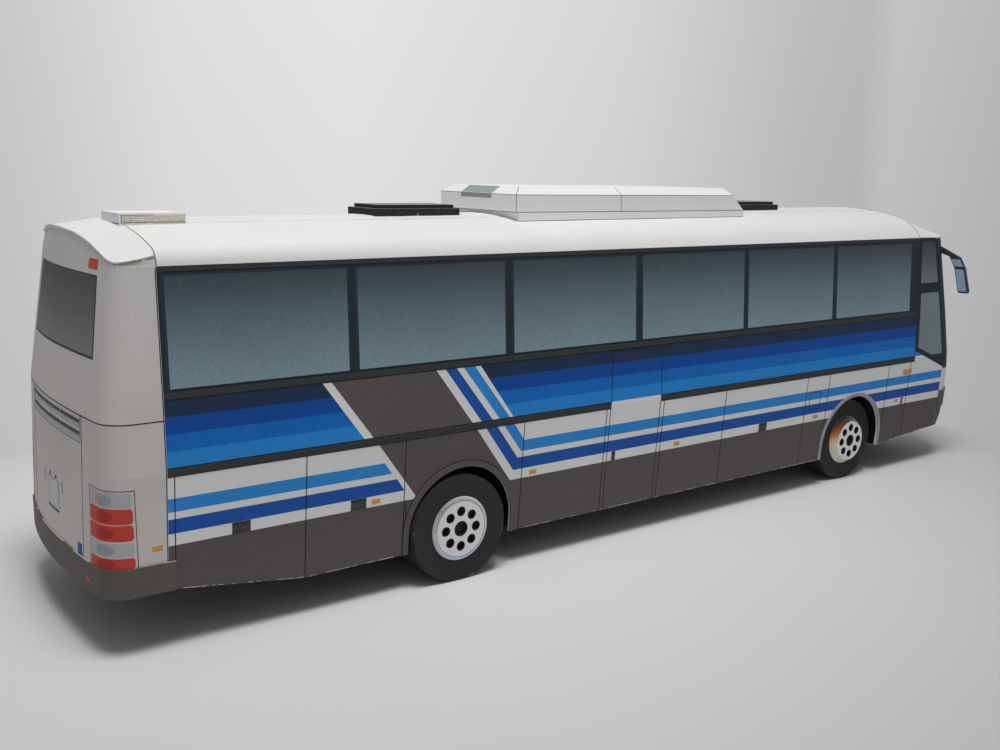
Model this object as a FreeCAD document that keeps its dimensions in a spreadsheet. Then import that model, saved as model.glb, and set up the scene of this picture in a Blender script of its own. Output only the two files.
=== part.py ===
import FreeCAD, Part
import math
import os
import Sketcher

os.makedirs("parts", exist_ok=True)
doc = FreeCAD.newDocument("card_coach")
V = FreeCAD.Vector

# Driving dimensions in millimetres. Card model of a coach at 1:50. +X is forward, the right side
# of the coach is at negative Y, and the wheels stand on Z = 0. Heights are above the floor.
SIZES = {
    "card": 0.4,
    "side_length": 215.4,
    "eaves_setback": 7.0,
    "rear_depth": 10.9,
    "rear_lower_lean": 0.8,
    "rear_upper_lean": 4.2,
    "rear_corner_depth": 5.5,
    "rear_corner_radius": 4.5,
    "front_depth": 9.8,
    "front_corner_radius": 7.0,
    "nose_corner_radius": 9.2,
    "skirt_half_width": 23.9,
    "waist_half_width": 25.4,
    "band_half_width": 25.0,
    "eaves_half_width": 23.8,
    "skirt_height": 6.9,
    "waist_height": 29.6,
    "band_height": 41.0,
    "eaves_height": 61.4,
    "roof_rise": 6.0,
    "roof_climb": 0.9,
    "rear_cap_drop": 2.8,
    "rear_cap_rise": 7.2,
    "front_cap_rise": 1.0,
    "roof_front_overhang": 14.4,
    "skirt_rear_rise": 3.3,
    "skirt_rear_run": 23.7,
    "skirt_front_rise": 2.5,
    "skirt_front_lead": 3.0,
    "rear_bumper_low": 10.0,
    "rear_bumper_top": 14.9,
    "rear_joint_height": 37.9,
    "bumper_proud": 0.25,
    "bumper_wrap": 1.6,
    "front_bumper_low": 9.4,
    "front_bumper_step": 14.6,
    "front_bumper_top": 19.5,
    "front_bevel_height": 2.9,
    "front_bevel_depth": 5.0,
    "windscreen_low": 25.6,
    "floor_recess": 0.5,
    "floor_card": 0.6,
    "rear_axle_from_edge": 55.1,
    "front_axle_from_edge": 38.3,
    "wheel_radius": 10.3,
    "tyre_width": 5.6,
    "twin_gap": 1.2,
    "twin_groove_depth": 3.4,
    "rim_radius": 6.2,
    "rear_tyre_face": 25.4,
    "front_tyre_face": 22.6,
    "arch_radius": 11.7,
    "rear_arch_ahead": 1.0,
    "well_clearance": 0.5,
    "rear_lip_width": 1.1,
    "front_lip_width": 0.8,
    "lip_card": 0.3,
    "axle_radius": 1.0,
    "axle_running_gap": 0.06,
    "axle_seat_gap": 0.02,
    "axle_tube_card": 0.7,
    "disc_radius": 5.9,
    "disc_proud": 0.4,
    "drum_radius": 5.0,
    "drum_proud": 1.7,
    "hub_hole_radius": 1.5,
    "hub_hole_depth": 1.2,
    "hub_web": 1.0,
    "hand_hole_radius": 0.95,
    "hand_hole_circle": 3.4,
    "unit_from_edge": 75.8,
    "unit_length": 67.6,
    "unit_width": 26.7,
    "unit_base_above": 0.25,
    "unit_base_deep": 2.0,
    "unit_base_recess": 1.0,
    "unit_side_height": 3.55,
    "unit_hip_height": 1.5,
    "unit_hip": 2.3,
    "unit_front_slope": 4.2,
    "unit_front_hip": 0.8,
    "hatch_length": 19.2,
    "hatch_width": 10.8,
    "hatch_base_card": 1.2,
    "hatch_lid_card": 0.7,
    "hatch_lid_inset": 0.9,
    "rear_hatch_from_edge": 48.6,
    "front_hatch_from_edge": 146.4,
    "vent_length": 10.8,
    "vent_width": 10.4,
    "vent_plies": 1.6,
    "vent_behind_edge": 0.75,
    "vent_aside": 4.6,
    "vent_cover_card": 0.3,
    "mirror_ahead": 5.8,
    "mirror_arm_drop": 0.5,
    "mirror_arm_width": 1.0,
    "mirror_arm_sag": 0.5,
    "mirror_elbow_drop": 5.2,
    "mirror_bend_drop": 8.0,
    "mirror_foot_drop": 14.6,
    "mirror_elbow_out": 2.5,
    "mirror_bend_out": 4.2,
    "mirror_foot_out": 5.8,
    "mirror_width": 2.8,
    "mirror_corner": 0.6,
    "mirror_card": 1.0,
    "mirror_arm_card": 0.6,
}

sheet = doc.addObject("Spreadsheet::Sheet", "Sizes")
for row, (name, number) in enumerate(SIZES.items(), start=1):
    sheet.set("A%d" % row, name)
    sheet.set("B%d" % row, str(number))
    sheet.setAlias("B%d" % row, name)
doc.recompute()

# Forms of the roof's arch: the crown's radius as a multiple of the radius of one arc of that span
# and rise, and the shoulders' radius as a multiple of the rise. The roof is boxy at its rear.
BOXY = (1.5, 0.5)
ROUND = (1.66, 1.7)
EVEN = (1.03, 1.7)
HAND_HOLES = 8
VENT_TILT = 3.4

# Places along the coach, as expressions on the sheet.
REAR_EDGE = "(Sizes.rear_depth - Sizes.side_length - Sizes.front_depth) / 2"
REAR_AXLE = REAR_EDGE + " + Sizes.rear_axle_from_edge"
FRONT_AXLE = REAR_EDGE + " + Sizes.side_length - Sizes.front_axle_from_edge"
ROOF_LENGTH = "(Sizes.side_length - Sizes.roof_front_overhang)"
ROOF_SEAM = REAR_EDGE + " + " + ROOF_LENGTH


def size(name):
    """The number in the sheet's cell of that name."""
    return float(sheet.get(name))


def value(term):
    """A coordinate's number: it is given as one, or as an expression on the sheet."""
    return float(sheet.evalExpression(term)) if isinstance(term, str) else float(term)


card = size("card")
rear_edge = value(REAR_EDGE)
front_edge = rear_edge + size("side_length")
roof_seam = value(ROOF_SEAM)
rear_axle = value(REAR_AXLE)
front_axle = value(FRONT_AXLE)
wheel_radius = size("wheel_radius")
skirt_height = size("skirt_height")
waist_height = size("waist_height")
band_height = size("band_height")
eaves_height = size("eaves_height")
roof_rise = size("roof_rise")
windscreen_low = size("windscreen_low")
rear_joint = size("rear_joint_height")
arch_radius = size("arch_radius")
arches = {"rear": rear_axle + size("rear_arch_ahead"), "front": front_axle}
over_crown = eaves_height + roof_rise + size("roof_climb") + card
under_foot = -wheel_radius
nodes = []


def between(low, high, share):
    """The value that lies a share of the way from low to high."""
    return low + (high - low) * share


def half_width(height):
    """Outer half width of the body at a height: straight between skirt, waist, band and eaves."""
    stations = [(size(part + "_height"), size(part + "_half_width"))
                for part in ("skirt", "waist", "band", "eaves")]
    for (low, wide), (high, next_wide) in zip(stations, stations[1:]):
        if height <= high or high == eaves_height:
            share = min((height - low) / (high - low), 1)
            return between(wide, next_wide, share)


def rear_reach(height):
    """How far the rear stands behind the sides: nearly upright below the joint, leaning above."""
    lower_reach = size("rear_depth") - size("rear_lower_lean")
    if height <= rear_joint:
        bumper_top = size("rear_bumper_top")
        share = max(height - bumper_top, 0) / (rear_joint - bumper_top)
        return between(size("rear_depth"), lower_reach, share)
    share = (height - rear_joint) / (eaves_height + roof_rise - rear_joint)
    return lower_reach - size("rear_upper_lean") * share


def front_reach(height):
    """How far the front stands ahead of the sides: bevelled back at the bumper's foot."""
    low = size("front_bumper_low")
    share = min(max((height - low) / size("front_bevel_height"), 0), 1)
    return size("front_depth") - size("front_bevel_depth") * (1 - share)


def side_front(height):
    """Front edge of a side: upright up to the windscreen's foot, leaning back above it."""
    share = max(height - windscreen_low, 0) / (eaves_height - windscreen_low)
    return front_edge - size("eaves_setback") * share


def levels(low, high):
    """Heights from low to high at which the body's outline bends, with both ends."""
    return [low] + [z for z in (waist_height, band_height, eaves_height) if low < z < high] + [high]


def draw(sketch, points):
    """Close a sketch outline through points; four numbers are an arc's middle and its end.

    A coordinate that is an expression on the sheet is bound to it by a constraint.
    """
    here = V(value(points[0][-2]), value(points[0][-1]), 0)
    ends = []
    for step in points[1:] + [points[0][-2:]]:
        there = V(value(step[-2]), value(step[-1]), 0)
        if len(step) == 4:
            middle = V(*step[:2], 0)
            sketch.addGeometry(Part.Arc(here, middle, there), False)
            clockwise = (middle - here).cross(there - here).z < 0
            ends.append((2, 1) if clockwise else (1, 2))
        elif here.distanceToPoint(there) > 1e-6:
            sketch.addGeometry(Part.LineSegment(here, there), False)
            ends.append((1, 2))
        here = there
    for index, (_, end) in enumerate(ends):
        following = (index + 1) % len(ends)
        sketch.addConstraint(
            Sketcher.Constraint("Coincident", index, end, following, ends[following][0]))
    for index, step in enumerate(points):
        for kind, term in zip(("DistanceX", "DistanceY"), step[-2:]):
            if isinstance(term, str):
                bind(sketch, kind, index, ends[index][0], term)


def bind(sketch, kind, index, end, term):
    """Hold a point's distance from the sketch's origin to an expression on the sheet."""
    held = sketch.addConstraint(Sketcher.Constraint(kind, -1, 1, index, end, value(term)))
    sketch.setExpression("Constraints[%d]" % held, term)


def end_arch(half_span, rise, corner):
    """Half of a three-centred arch, upright at its springing: small arc's middle, its joint.

    The small arc's centre is on the springing line, the large one's on the centre line, and they
    meet where the line through both centres cuts them, so they are tangent there.
    """
    large = (half_span ** 2 + rise ** 2 - 2 * half_span * corner) / (2 * (rise - corner))
    angle = math.atan2(half_span - corner, large - rise)
    joint = (large * math.sin(angle), rise - large + large * math.cos(angle))
    half_turn = (math.pi / 2 - angle) / 2
    middle = (half_span - corner + corner * math.cos(half_turn), corner * math.sin(half_turn))
    return middle, joint


def end_arch_line(half_span, rise, corner, lead):
    """The whole arch as draw() steps, from +half_span to -half_span, on straight leads."""
    middle, joint = end_arch(half_span, rise, corner)
    steps = [(half_span, 0)]
    if lead > 0:
        steps.append((half_span, lead))
    steps.append((middle[0], lead + middle[1], joint[0], lead + joint[1]))
    steps.append((0, lead + rise, -joint[0], lead + joint[1]))
    steps.append((-middle[0], lead + middle[1], -half_span, lead))
    if lead > 0:
        steps.append((-half_span, 0))
    return steps


def roof_arch_line(form, rise, inset, foot_height):
    """An arch over the coach as draw() steps, from +Y to -Y, inset from its outer face.

    A flat crown arc meets a shoulder arc at each side, which is tangent to it and ends at the
    foot with a crease. The angle at the crown's centre comes from the triangle of both centres
    and the foot.
    """
    span = size("eaves_half_width")
    crown = form[0] * (span ** 2 + rise ** 2) / (2 * rise)
    shoulder = form[1] * rise
    to_eaves = math.hypot(span, crown - rise)
    to_centre = crown - shoulder
    apex = math.acos((to_eaves ** 2 + to_centre ** 2 - shoulder ** 2) / (2 * to_eaves * to_centre))
    angle = math.atan2(span, crown - rise) - apex
    centre = (to_centre * math.sin(angle), rise - crown + to_centre * math.cos(angle))
    crown -= inset
    shoulder -= inset
    foot = centre[0] + math.sqrt(shoulder ** 2 - centre[1] ** 2)
    foot_angle = math.acos(-centre[1] / shoulder)
    middle_angle = (angle + foot_angle) / 2
    middle = (centre[0] + shoulder * math.sin(middle_angle),
              foot_height + centre[1] + shoulder * math.cos(middle_angle))
    joint = (centre[0] + shoulder * math.sin(angle),
             foot_height + centre[1] + shoulder * math.cos(angle))
    return [(foot, foot_height), middle + joint,
            (0, foot_height + rise - inset, -joint[0], joint[1]),
            (-middle[0], middle[1], -foot, foot_height)]


def back(steps):
    """The same draw() steps, run the other way."""
    ends = [step[-2:] for step in steps]
    turned = [ends[-1]]
    for index in range(len(steps) - 1, 0, -1):
        middle = steps[index][:2] if len(steps[index]) == 4 else ()
        turned.append(tuple(middle) + tuple(ends[index - 1]))
    return turned


def new_body(name):
    body = doc.addObject("PartDesign::Body", name)
    body.Label = name
    return body


def attached_sketch(body, name, role, offset):
    """An empty sketch on one of a body's origin planes, moved along the plane's normal."""
    sketch = body.newObject("Sketcher::SketchObject", name)
    plane = [item for item in body.Origin.OriginFeatures if item.Role == role][0]
    sketch.AttachmentSupport = (plane, [""])
    sketch.MapMode = "FlatFace"
    sketch.AttachmentOffset = FreeCAD.Placement(V(0, 0, value(offset)), FreeCAD.Rotation())
    if isinstance(offset, str):
        sketch.setExpression("AttachmentOffset.Base.z", offset)
    return sketch


def body_sketch(body, name, role, steps, offset=0.0):
    """A closed outline on one of a body's origin planes."""
    sketch = attached_sketch(body, name, role, offset)
    draw(sketch, steps)
    return sketch


def pad(body, name, role, steps, length, offset=0.0, reverse=False, midplane=False):
    """Sketch and Pad in one body; length is an expression on the sheet."""
    feature = body.newObject("PartDesign::Pad", name)
    feature.Profile = body_sketch(body, name + "_outline", role, steps, offset)
    feature.Reversed = reverse
    feature.Midplane = midplane
    feature.setExpression("Length", length)
    body.Tip = feature
    doc.recompute()
    return feature


def pocket(body, name, role, steps):
    """Cut an outline right through a body, both ways from its plane."""
    feature = body.newObject("PartDesign::Pocket", name)
    feature.Profile = body_sketch(body, name + "_outline", role, steps)
    feature.Type = 1
    feature.Midplane = True
    body.Tip = feature
    doc.recompute()
    return feature


def section(name, steps, placement, height=None):
    """A free sketch that a loft runs through; height is an expression for its level."""
    sketch = doc.addObject("Sketcher::SketchObject", name)
    draw(sketch, steps)
    sketch.Placement = placement
    if height:
        sketch.setExpression("Placement.Base.z", height)
    return sketch


def loft(name, sections):
    feature = doc.addObject("Part::Loft", name)
    feature.Sections = sections
    feature.Solid = True
    feature.Ruled = True
    doc.recompute()
    return feature


def combine(kind, name, first, second):
    """One boolean of two objects: Common, Cut or Fuse."""
    feature = doc.addObject("Part::" + kind, name)
    feature.Base = first
    feature.Tool = second
    doc.recompute()
    return feature


def place(feature, corner):
    """Bind a feature's place to three expressions on the sheet."""
    for axis, term in zip("xyz", corner):
        feature.setExpression("Placement.Base." + axis, term)


def box(name, sizes, corner):
    """A Part::Box: its three sizes and its low corner are expressions on the sheet."""
    feature = doc.addObject("Part::Box", name)
    for side, expression in zip(("Length", "Width", "Height"), sizes):
        feature.setExpression(side, expression)
    place(feature, corner)
    doc.recompute()
    return feature


def across_rod(name, radius, half_length, axle):
    """A cylinder across the coach on an axle's line: radius and half length are expressions."""
    feature = doc.addObject("Part::Cylinder", name)
    feature.setExpression("Radius", radius)
    feature.setExpression("Height", "2 * (%s)" % half_length)
    feature.Placement = FreeCAD.Placement(V(), FreeCAD.Rotation(V(1, 0, 0), 90))
    place(feature, (axle, half_length, "Sizes.wheel_radius"))
    doc.recompute()
    return feature


def across(x):
    """Placement of a section that stands across the coach at x, drawn in Y and Z."""
    return FreeCAD.Placement(V(x, 0, 0), FreeCAD.Rotation(V(1, 1, 1), 120))


def level(z):
    """Placement of a plan section at height z."""
    return FreeCAD.Placement(V(0, 0, z), FreeCAD.Rotation())


def wall_strip(side, inner, outer):
    """Section of one side, from foot to eaves, between two offsets from its outer face."""
    heights = levels(skirt_height, eaves_height)
    out = [(side * (half_width(z) + outer), z) for z in heights]
    within = [(side * (half_width(z) + inner), z) for z in heights]
    return out + within[::-1]


def arch_over(middle, radius, low):
    """An arch over a wheel as draw() steps: half a circle at the axle's height, legs straight down."""
    return [(middle - radius, low), (middle - radius, wheel_radius),
            (middle, wheel_radius + radius, middle + radius, wheel_radius),
            (middle + radius, low)]


def foot_line(lift):
    """Points of the sides' lower edge, raised by lift: it rises straight towards both ends."""
    return [(rear_edge, skirt_height + size("skirt_rear_rise") + lift),
            (rear_edge + size("skirt_rear_run"), skirt_height + lift),
            (front_axle + size("skirt_front_lead"), skirt_height + lift),
            (front_edge, skirt_height + size("skirt_front_rise") + lift)]


def trim_foot(body, name):
    """Cut a side's lower edge to the foot line."""
    pocket(body, name, "XZ_Plane",
           [(rear_edge, under_foot)] + foot_line(0) + [(front_edge, under_foot)])


# Sides: one folded card each, with its arches cut out, its foot rising to both ends and its
# front edge leaning back along the windscreen.
for side, hand in ((-1, "right"), (1, "left")):
    wall = new_body("side_panel_" + hand)
    pad(wall, "wall_" + hand, "YZ_Plane", wall_strip(side, -card, 0),
        "Sizes.side_length", REAR_EDGE)
    for end, middle in arches.items():
        pocket(wall, "%s_arch_%s" % (end, hand), "XZ_Plane",
               arch_over(middle, arch_radius, under_foot))
    trim_foot(wall, "foot_" + hand)
    pocket(wall, "screen_edge_" + hand, "XZ_Plane",
           [(front_edge, windscreen_low), (front_edge, over_crown),
            (side_front(over_crown), over_crown)])
    nodes.append(wall)

def arched_card(name, arches, inset=card):
    """A card bent over the coach through arches, and all the space under its inset face.

    Each arch is a form, a rise, a place along the coach and the height of its foot.
    """
    wide = size("waist_half_width") + card
    shell, under = [], []
    for tag, (form, rise, x, low) in zip(("near", "far"), arches):
        outer = roof_arch_line(form, rise, 0, low)
        inner = roof_arch_line(form, rise, inset, low)
        if inset:
            shell.append(section("%s_ring_%s" % (name, tag), outer + back(inner), across(x)))
        space = [(-wide, under_foot), (wide, under_foot), (wide, low)] + inner
        under.append(section("%s_space_%s" % (name, tag), space + [(-wide, low)], across(x)))
    return loft(name, shell) if inset else None, loft(name + "_under", under)


# Roof: an arched card between the two sides' top edges, which climbs a little to the front.
rear_arch = (BOXY, roof_rise, rear_edge, eaves_height)
front_arch = (ROUND, roof_rise + size("roof_climb"), roof_seam, eaves_height)
nodes.append(arched_card("roof_panel", (rear_arch, front_arch))[0])
_, roof_space = arched_card("roof_outer", (rear_arch, front_arch), 0)


def plan_line(direction, x, wide, depth, corner_depth, corner):
    """Plan of an end, from one side's edge round to the other: straight, corner, crown."""
    turned = []
    for step in end_arch_line(wide, corner_depth, corner, depth - corner_depth):
        pairs = [(x + direction * step[k + 1], step[k]) for k in range(0, len(step), 2)]
        turned.append(tuple(term for pair in pairs for term in pair))
    return turned


def rear_plan(z, inset=0.0, proud=0.0):
    """The rear's plan at height z, inset by a card's thickness for its inner face."""
    reach = rear_reach(z)
    depth = min(size("rear_corner_depth"), reach - card)
    corner = size("rear_corner_radius") * depth / size("rear_corner_depth")
    return plan_line(-1, rear_edge, half_width(z) - inset + proud, reach - inset + proud,
                     depth - inset, corner - inset)


def front_plan(z, inset=0.0, proud=0.0):
    """The front's plan at height z, inset by a card's thickness for its inner face."""
    reach = front_reach(z)
    share = (windscreen_low - z) / (windscreen_low - size("front_bumper_top"))
    corner = between(size("front_corner_radius"), size("nose_corner_radius"),
                     min(max(share, 0), 1)) * reach / size("front_depth")
    return plan_line(1, side_front(z), half_width(z) - inset + proud, reach - inset + proud,
                     reach - inset, corner - inset)


def end_wall(name, plan, heights, proud=0.0):
    """A card bent round an end: U-shaped plan sections, joined straight."""
    return loft(name, [section("%s_plan_%d" % (name, index),
                               plan(z, 0, proud) + back(plan(z, card, 0)), level(z))
                       for index, z in enumerate(heights)])


def end_space(name, plan, heights, proud=0.0):
    """The whole space within an end's outer face, or as much beyond it."""
    return loft(name, [section("%s_plan_%d" % (name, index), plan(z, 0, proud), level(z))
                       for index, z in enumerate(heights)])


# Rear end: an upper and a lower panel bent round the corners, a bumper strip and the roof's cap.
rear_cap_foot = (eaves_height + roof_rise - size("rear_cap_drop") - size("rear_cap_rise"))
rear_shell, rear_under = arched_card(
    "rear_cap_shell", (rear_arch, (EVEN, size("rear_cap_rise"), rear_edge - size("rear_depth"),
                             rear_cap_foot)))
rear_space = end_space("rear_space", rear_plan, levels(rear_joint, over_crown),
                       size("bumper_proud"))
nodes.append(combine("Common", "roof_cap_rear", rear_shell, rear_space))
rear_wall = end_wall("rear_upper_wall", rear_plan, levels(rear_joint, over_crown))
nodes.append(combine("Common", "rear_panel_upper", rear_wall, rear_under))
nodes.append(end_wall("rear_panel_lower", rear_plan, levels(size("rear_bumper_top"), rear_joint)))
bumper = end_wall("rear_bumper_bend", rear_plan,
                  levels(size("rear_bumper_low"), size("rear_bumper_top")),
                  size("bumper_proud"))
for side, hand in ((-1, "right"), (1, "left")):
    wrap = new_body("bumper_wrap_" + hand)
    corners = [(side * (half_width(z) + proud), z)
               for z, proud in ((size("rear_bumper_low"), 0),
                                (size("rear_bumper_low"), size("bumper_proud")),
                                (size("rear_bumper_top"), size("bumper_proud")),
                                (size("rear_bumper_top"), 0))]
    pad(wrap, "bumper_end_" + hand, "YZ_Plane", corners, "Sizes.bumper_wrap", REAR_EDGE)
    bumper = combine("Fuse", "rear_bumper" if side > 0 else "rear_bumper_part", bumper, wrap)
nodes.append(bumper)

# Front end: the windscreen panel under the roof's sinking cap, the nose, and a bumper of two
# tiers with a bevelled foot.
front_shell, front_under = arched_card(
    "front_cap_shell", (front_arch, (ROUND, size("front_cap_rise"), front_edge + size("front_depth"),
                               eaves_height)))
front_space = end_space("front_space", front_plan, levels(windscreen_low, over_crown))
behind_screen = box("front_cap_lead",
                    ("Sizes.roof_front_overhang - Sizes.eaves_setback",
                     "2 * Sizes.eaves_half_width",
                     "2 * (Sizes.roof_rise + Sizes.roof_climb)"),
                    (ROOF_SEAM, "-Sizes.eaves_half_width", "Sizes.eaves_height"))
nodes.append(combine("Common", "roof_cap_front", front_shell,
                     combine("Fuse", "front_cap_space", front_space, behind_screen)))
screen_wall = end_wall("windscreen_wall", front_plan, levels(windscreen_low, over_crown))
nodes.append(combine("Common", "windscreen_panel", screen_wall, front_under))
nodes.append(end_wall("nose_panel", front_plan, levels(size("front_bumper_top"), windscreen_low)))
bumper_low = size("front_bumper_low")
bumper_step = size("front_bumper_step")
bumper_foot = end_wall("front_bumper_foot", front_plan,
                       [bumper_low, bumper_low + size("front_bevel_height"), bumper_step])
bumper_brow = end_wall("front_bumper_brow", front_plan,
                       levels(bumper_step, size("front_bumper_top")), size("bumper_proud"))
nodes.append(combine("Fuse", "front_bumper", bumper_foot, bumper_brow))

# Wheel ends: for each axle its place, the outer face of its tyres and how wide they are, the
# radius and height of the disc that stands out of them, and whether they are twins.
WHEELS = {
    "rear": {"axle": REAR_AXLE, "face": "Sizes.rear_tyre_face", "top": "Sizes.disc_radius",
             "proud": "Sizes.disc_proud", "twins": True,
             "width": "(2 * Sizes.tyre_width + Sizes.twin_gap)"},
    "front": {"axle": FRONT_AXLE, "face": "Sizes.front_tyre_face", "top": "Sizes.drum_radius",
              "proud": "Sizes.drum_proud", "twins": False, "width": "Sizes.tyre_width"},
}
for wheel in WHEELS.values():
    wheel["well"] = "(%(face)s - %(width)s - 2 * Sizes.well_clearance)" % wheel

# Floor: one card a little above the walls' feet, bent up with them towards both ends, notched
# for the four wheels.
floor_low = skirt_height + size("floor_recess")
well_radius = arch_radius + size("well_clearance")
well_outer = well_radius + card
foot = foot_line(size("floor_recess"))
(_, rear_floor), (_, front_floor) = foot[0], foot[-1]
floor_wide = half_width(skirt_height) - card
floor_reach = front_reach(front_floor) - card
rear_line = plan_line(-1, rear_edge, floor_wide, rear_reach(rear_floor) - card,
                      size("rear_corner_depth") - card, size("rear_corner_radius") - card)
front_line = plan_line(1, front_edge, floor_wide, floor_reach, floor_reach, floor_reach / 2)
bent = [(rear_edge - size("rear_depth"), rear_floor)] + foot
bent += [(front_edge + size("front_depth"), front_floor)]
floor_bend = new_body("floor_bend")
pad(floor_bend, "floor_bend_strip", "XZ_Plane",
    bent + [(x, z + size("floor_card")) for x, z in bent[::-1]],
    "2 * Sizes.waist_half_width", midplane=True)
floor_plan = new_body("floor_plan")
pad(floor_plan, "floor_outline", "XY_Plane", rear_line + back(front_line), "Sizes.band_height")
for end, wheel in WHEELS.items():
    inner, outer = value(wheel["well"]), size("waist_half_width")
    behind, ahead = arches[end] - well_outer, arches[end] + well_outer
    for side, hand in ((-1, "right"), (1, "left")):
        pocket(floor_plan, "floor_notch_%s_%s" % (end, hand), "XY_Plane",
               [(behind, side * inner), (ahead, side * inner),
                (ahead, side * outer), (behind, side * outer)])
nodes.append(combine("Common", "floor_panel", floor_bend, floor_plan))

# Wheel wells: a card bent over each wheel, with a flat card at its inner end that holds the
# axle's tube. They are trimmed to the leaning walls by the space between the sides.
side_space = new_body("side_space")
right_wall = [(card - half_width(z), z) for z in levels(skirt_height, eaves_height)]
pad(side_space, "side_space_block", "YZ_Plane",
    right_wall + [(-y, z) for y, z in right_wall[::-1]], "Sizes.side_length", REAR_EDGE)
TUBE_BORE = "Sizes.axle_radius + Sizes.axle_running_gap"
for end, wheel in WHEELS.items():
    bore = across_rod("axle_bore_" + end, TUBE_BORE, "Sizes.waist_half_width", wheel["axle"])
    outer_arch = arch_over(arches[end], well_outer, floor_low)
    inner_arch = arch_over(arches[end], well_radius, floor_low)
    for side, hand in ((-1, "right"), (1, "left")):
        name = "wheel_well_%s_%s" % (end, hand)
        place_in = "%s%s" % ("" if side < 0 else "-", wheel["well"])
        bent_card = new_body(name + "_card")
        pad(bent_card, name + "_bend", "XZ_Plane", outer_arch + back(inner_arch),
            "Sizes.waist_half_width - " + wheel["well"], place_in, reverse=side > 0)
        pad(bent_card, name + "_end", "XZ_Plane", outer_arch, "Sizes.card", place_in,
            reverse=side > 0)
        trimmed = combine("Common", name + "_trimmed", bent_card, side_space)
        nodes.append(combine("Cut", name, trimmed, bore))
    tube = across_rod("axle_roll_" + end, TUBE_BORE + " + Sizes.axle_tube_card",
                      wheel["well"], wheel["axle"])
    nodes.append(combine("Cut", "axle_tube_" + end, tube, bore))

# Arch lips: thin card mouldings round the four arches, on the outside of the leaning sides.
for side, hand in ((-1, "right"), (1, "left")):
    skin = new_body("lip_skin_" + hand)
    pad(skin, "lip_skin_strip_" + hand, "YZ_Plane", wall_strip(side, 0, size("lip_card")),
        "Sizes.side_length", REAR_EDGE)
    trim_foot(skin, "lip_skin_foot_" + hand)
    for end, middle in arches.items():
        name = "arch_lip_%s_%s" % (end, hand)
        outer_arch = arch_over(middle, arch_radius + size(end + "_lip_width"), skirt_height)
        inner_arch = arch_over(middle, arch_radius, skirt_height)
        band = new_body(name + "_band")
        pad(band, name + "_strip", "XZ_Plane", outer_arch + back(inner_arch),
            "2 * Sizes.waist_half_width", reverse=side > 0)
        nodes.append(combine("Common", name, band, skin))


def wheel_turn(name, axle, side, steps):
    """A turned piece on an axle: radius along X and outward distance along Y in its sketch."""
    body = new_body(name)
    feature = body.newObject("PartDesign::Revolution", name + "_turn")
    outline = body_sketch(body, name + "_outline", "XY_Plane", steps)
    feature.Profile = outline
    feature.ReferenceAxis = (outline, ["V_Axis"])
    feature.Angle = 360
    body.Tip = feature
    body.Placement.Rotation = FreeCAD.Rotation(V(0, 0, 1), 0 if side > 0 else 180)
    place(body, (axle, "0", "Sizes.wheel_radius"))
    doc.recompute()
    return body


def tyre_steps(wheel):
    """Half section of a tyre, or of twins with a groove between them."""
    tread, rim, face = "Sizes.wheel_radius", "Sizes.rim_radius", wheel["face"]
    steps = [(rim, face), (tread, face)]
    if wheel["twins"]:
        groove = "Sizes.wheel_radius - Sizes.twin_groove_depth"
        first = face + " - Sizes.tyre_width"
        second = first + " - Sizes.twin_gap"
        steps += [(tread, first), (groove, first), (groove, second), (tread, second)]
    back_face = "%s - %s" % (face, wheel["width"])
    return steps + [(tread, back_face), (rim, back_face)]


def disc_steps(wheel):
    """Half section of a wheel disc: its rim in the tyre, its raised face, hub hole and seat."""
    seat, hub = "Sizes.axle_radius + Sizes.axle_seat_gap", "Sizes.hub_hole_radius"
    face, back_face = wheel["face"], "%(face)s - %(width)s" % wheel
    top = "%(face)s + %(proud)s" % wheel
    hub_floor = top + " - Sizes.hub_hole_depth"
    axle_end = hub_floor + " - Sizes.hub_web"
    return [(seat, back_face), ("Sizes.rim_radius", back_face), ("Sizes.rim_radius", face),
            (wheel["top"], top), (hub, top), (hub, hub_floor), (0, hub_floor), (0, axle_end),
            (seat, axle_end)]


def pierce(disc, wheel):
    """Hand holes in a ring round the hub: one round pocket, repeated about the axle."""
    circle = attached_sketch(disc, disc.Name + "_hole_circle", "XZ_Plane",
                             "-(%(face)s + %(proud)s)" % wheel)
    circle.addGeometry(Part.Circle(V(0, size("hand_hole_circle"), 0), V(0, 0, 1),
                                   size("hand_hole_radius")), False)
    circle.addConstraint(Sketcher.Constraint("PointOnObject", 0, 3, -2))
    bind(circle, "DistanceY", 0, 3, "Sizes.hand_hole_circle")
    radius = circle.addConstraint(Sketcher.Constraint("Radius", 0, size("hand_hole_radius")))
    circle.setExpression("Constraints[%d]" % radius, "Sizes.hand_hole_radius")
    hole = disc.newObject("PartDesign::Pocket", disc.Name + "_hole")
    hole.Profile = circle
    hole.Reversed = True
    hole.setExpression("Length", "Sizes.hub_hole_depth")
    doc.recompute()
    holes = disc.newObject("PartDesign::PolarPattern", disc.Name + "_holes")
    holes.Originals = [hole]
    holes.Axis = (circle, ["N_Axis"])
    holes.Angle = 360
    holes.Occurrences = HAND_HOLES
    disc.Tip = holes
    doc.recompute()


# Wheels: each a laminated card tyre round a rim whose pierced disc faces outwards. The rear pair
# are twins on one rim; the front discs stand out on a coned drum. A wooden rod joins each pair.
for end, wheel in WHEELS.items():
    for side, hand in ((-1, "right"), (1, "left")):
        nodes.append(wheel_turn("tyre_%s_%s" % (end, hand), wheel["axle"], side,
                                tyre_steps(wheel)))
        disc = wheel_turn("wheel_disc_%s_%s" % (end, hand), wheel["axle"], side,
                          disc_steps(wheel))
        pierce(disc, wheel)
        nodes.append(disc)
    rod_end = "%(face)s + %(proud)s - Sizes.hub_hole_depth - Sizes.hub_web" % wheel
    nodes.append(across_rod("axle_" + end, "Sizes.axle_radius", rod_end, wheel["axle"]))


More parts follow.
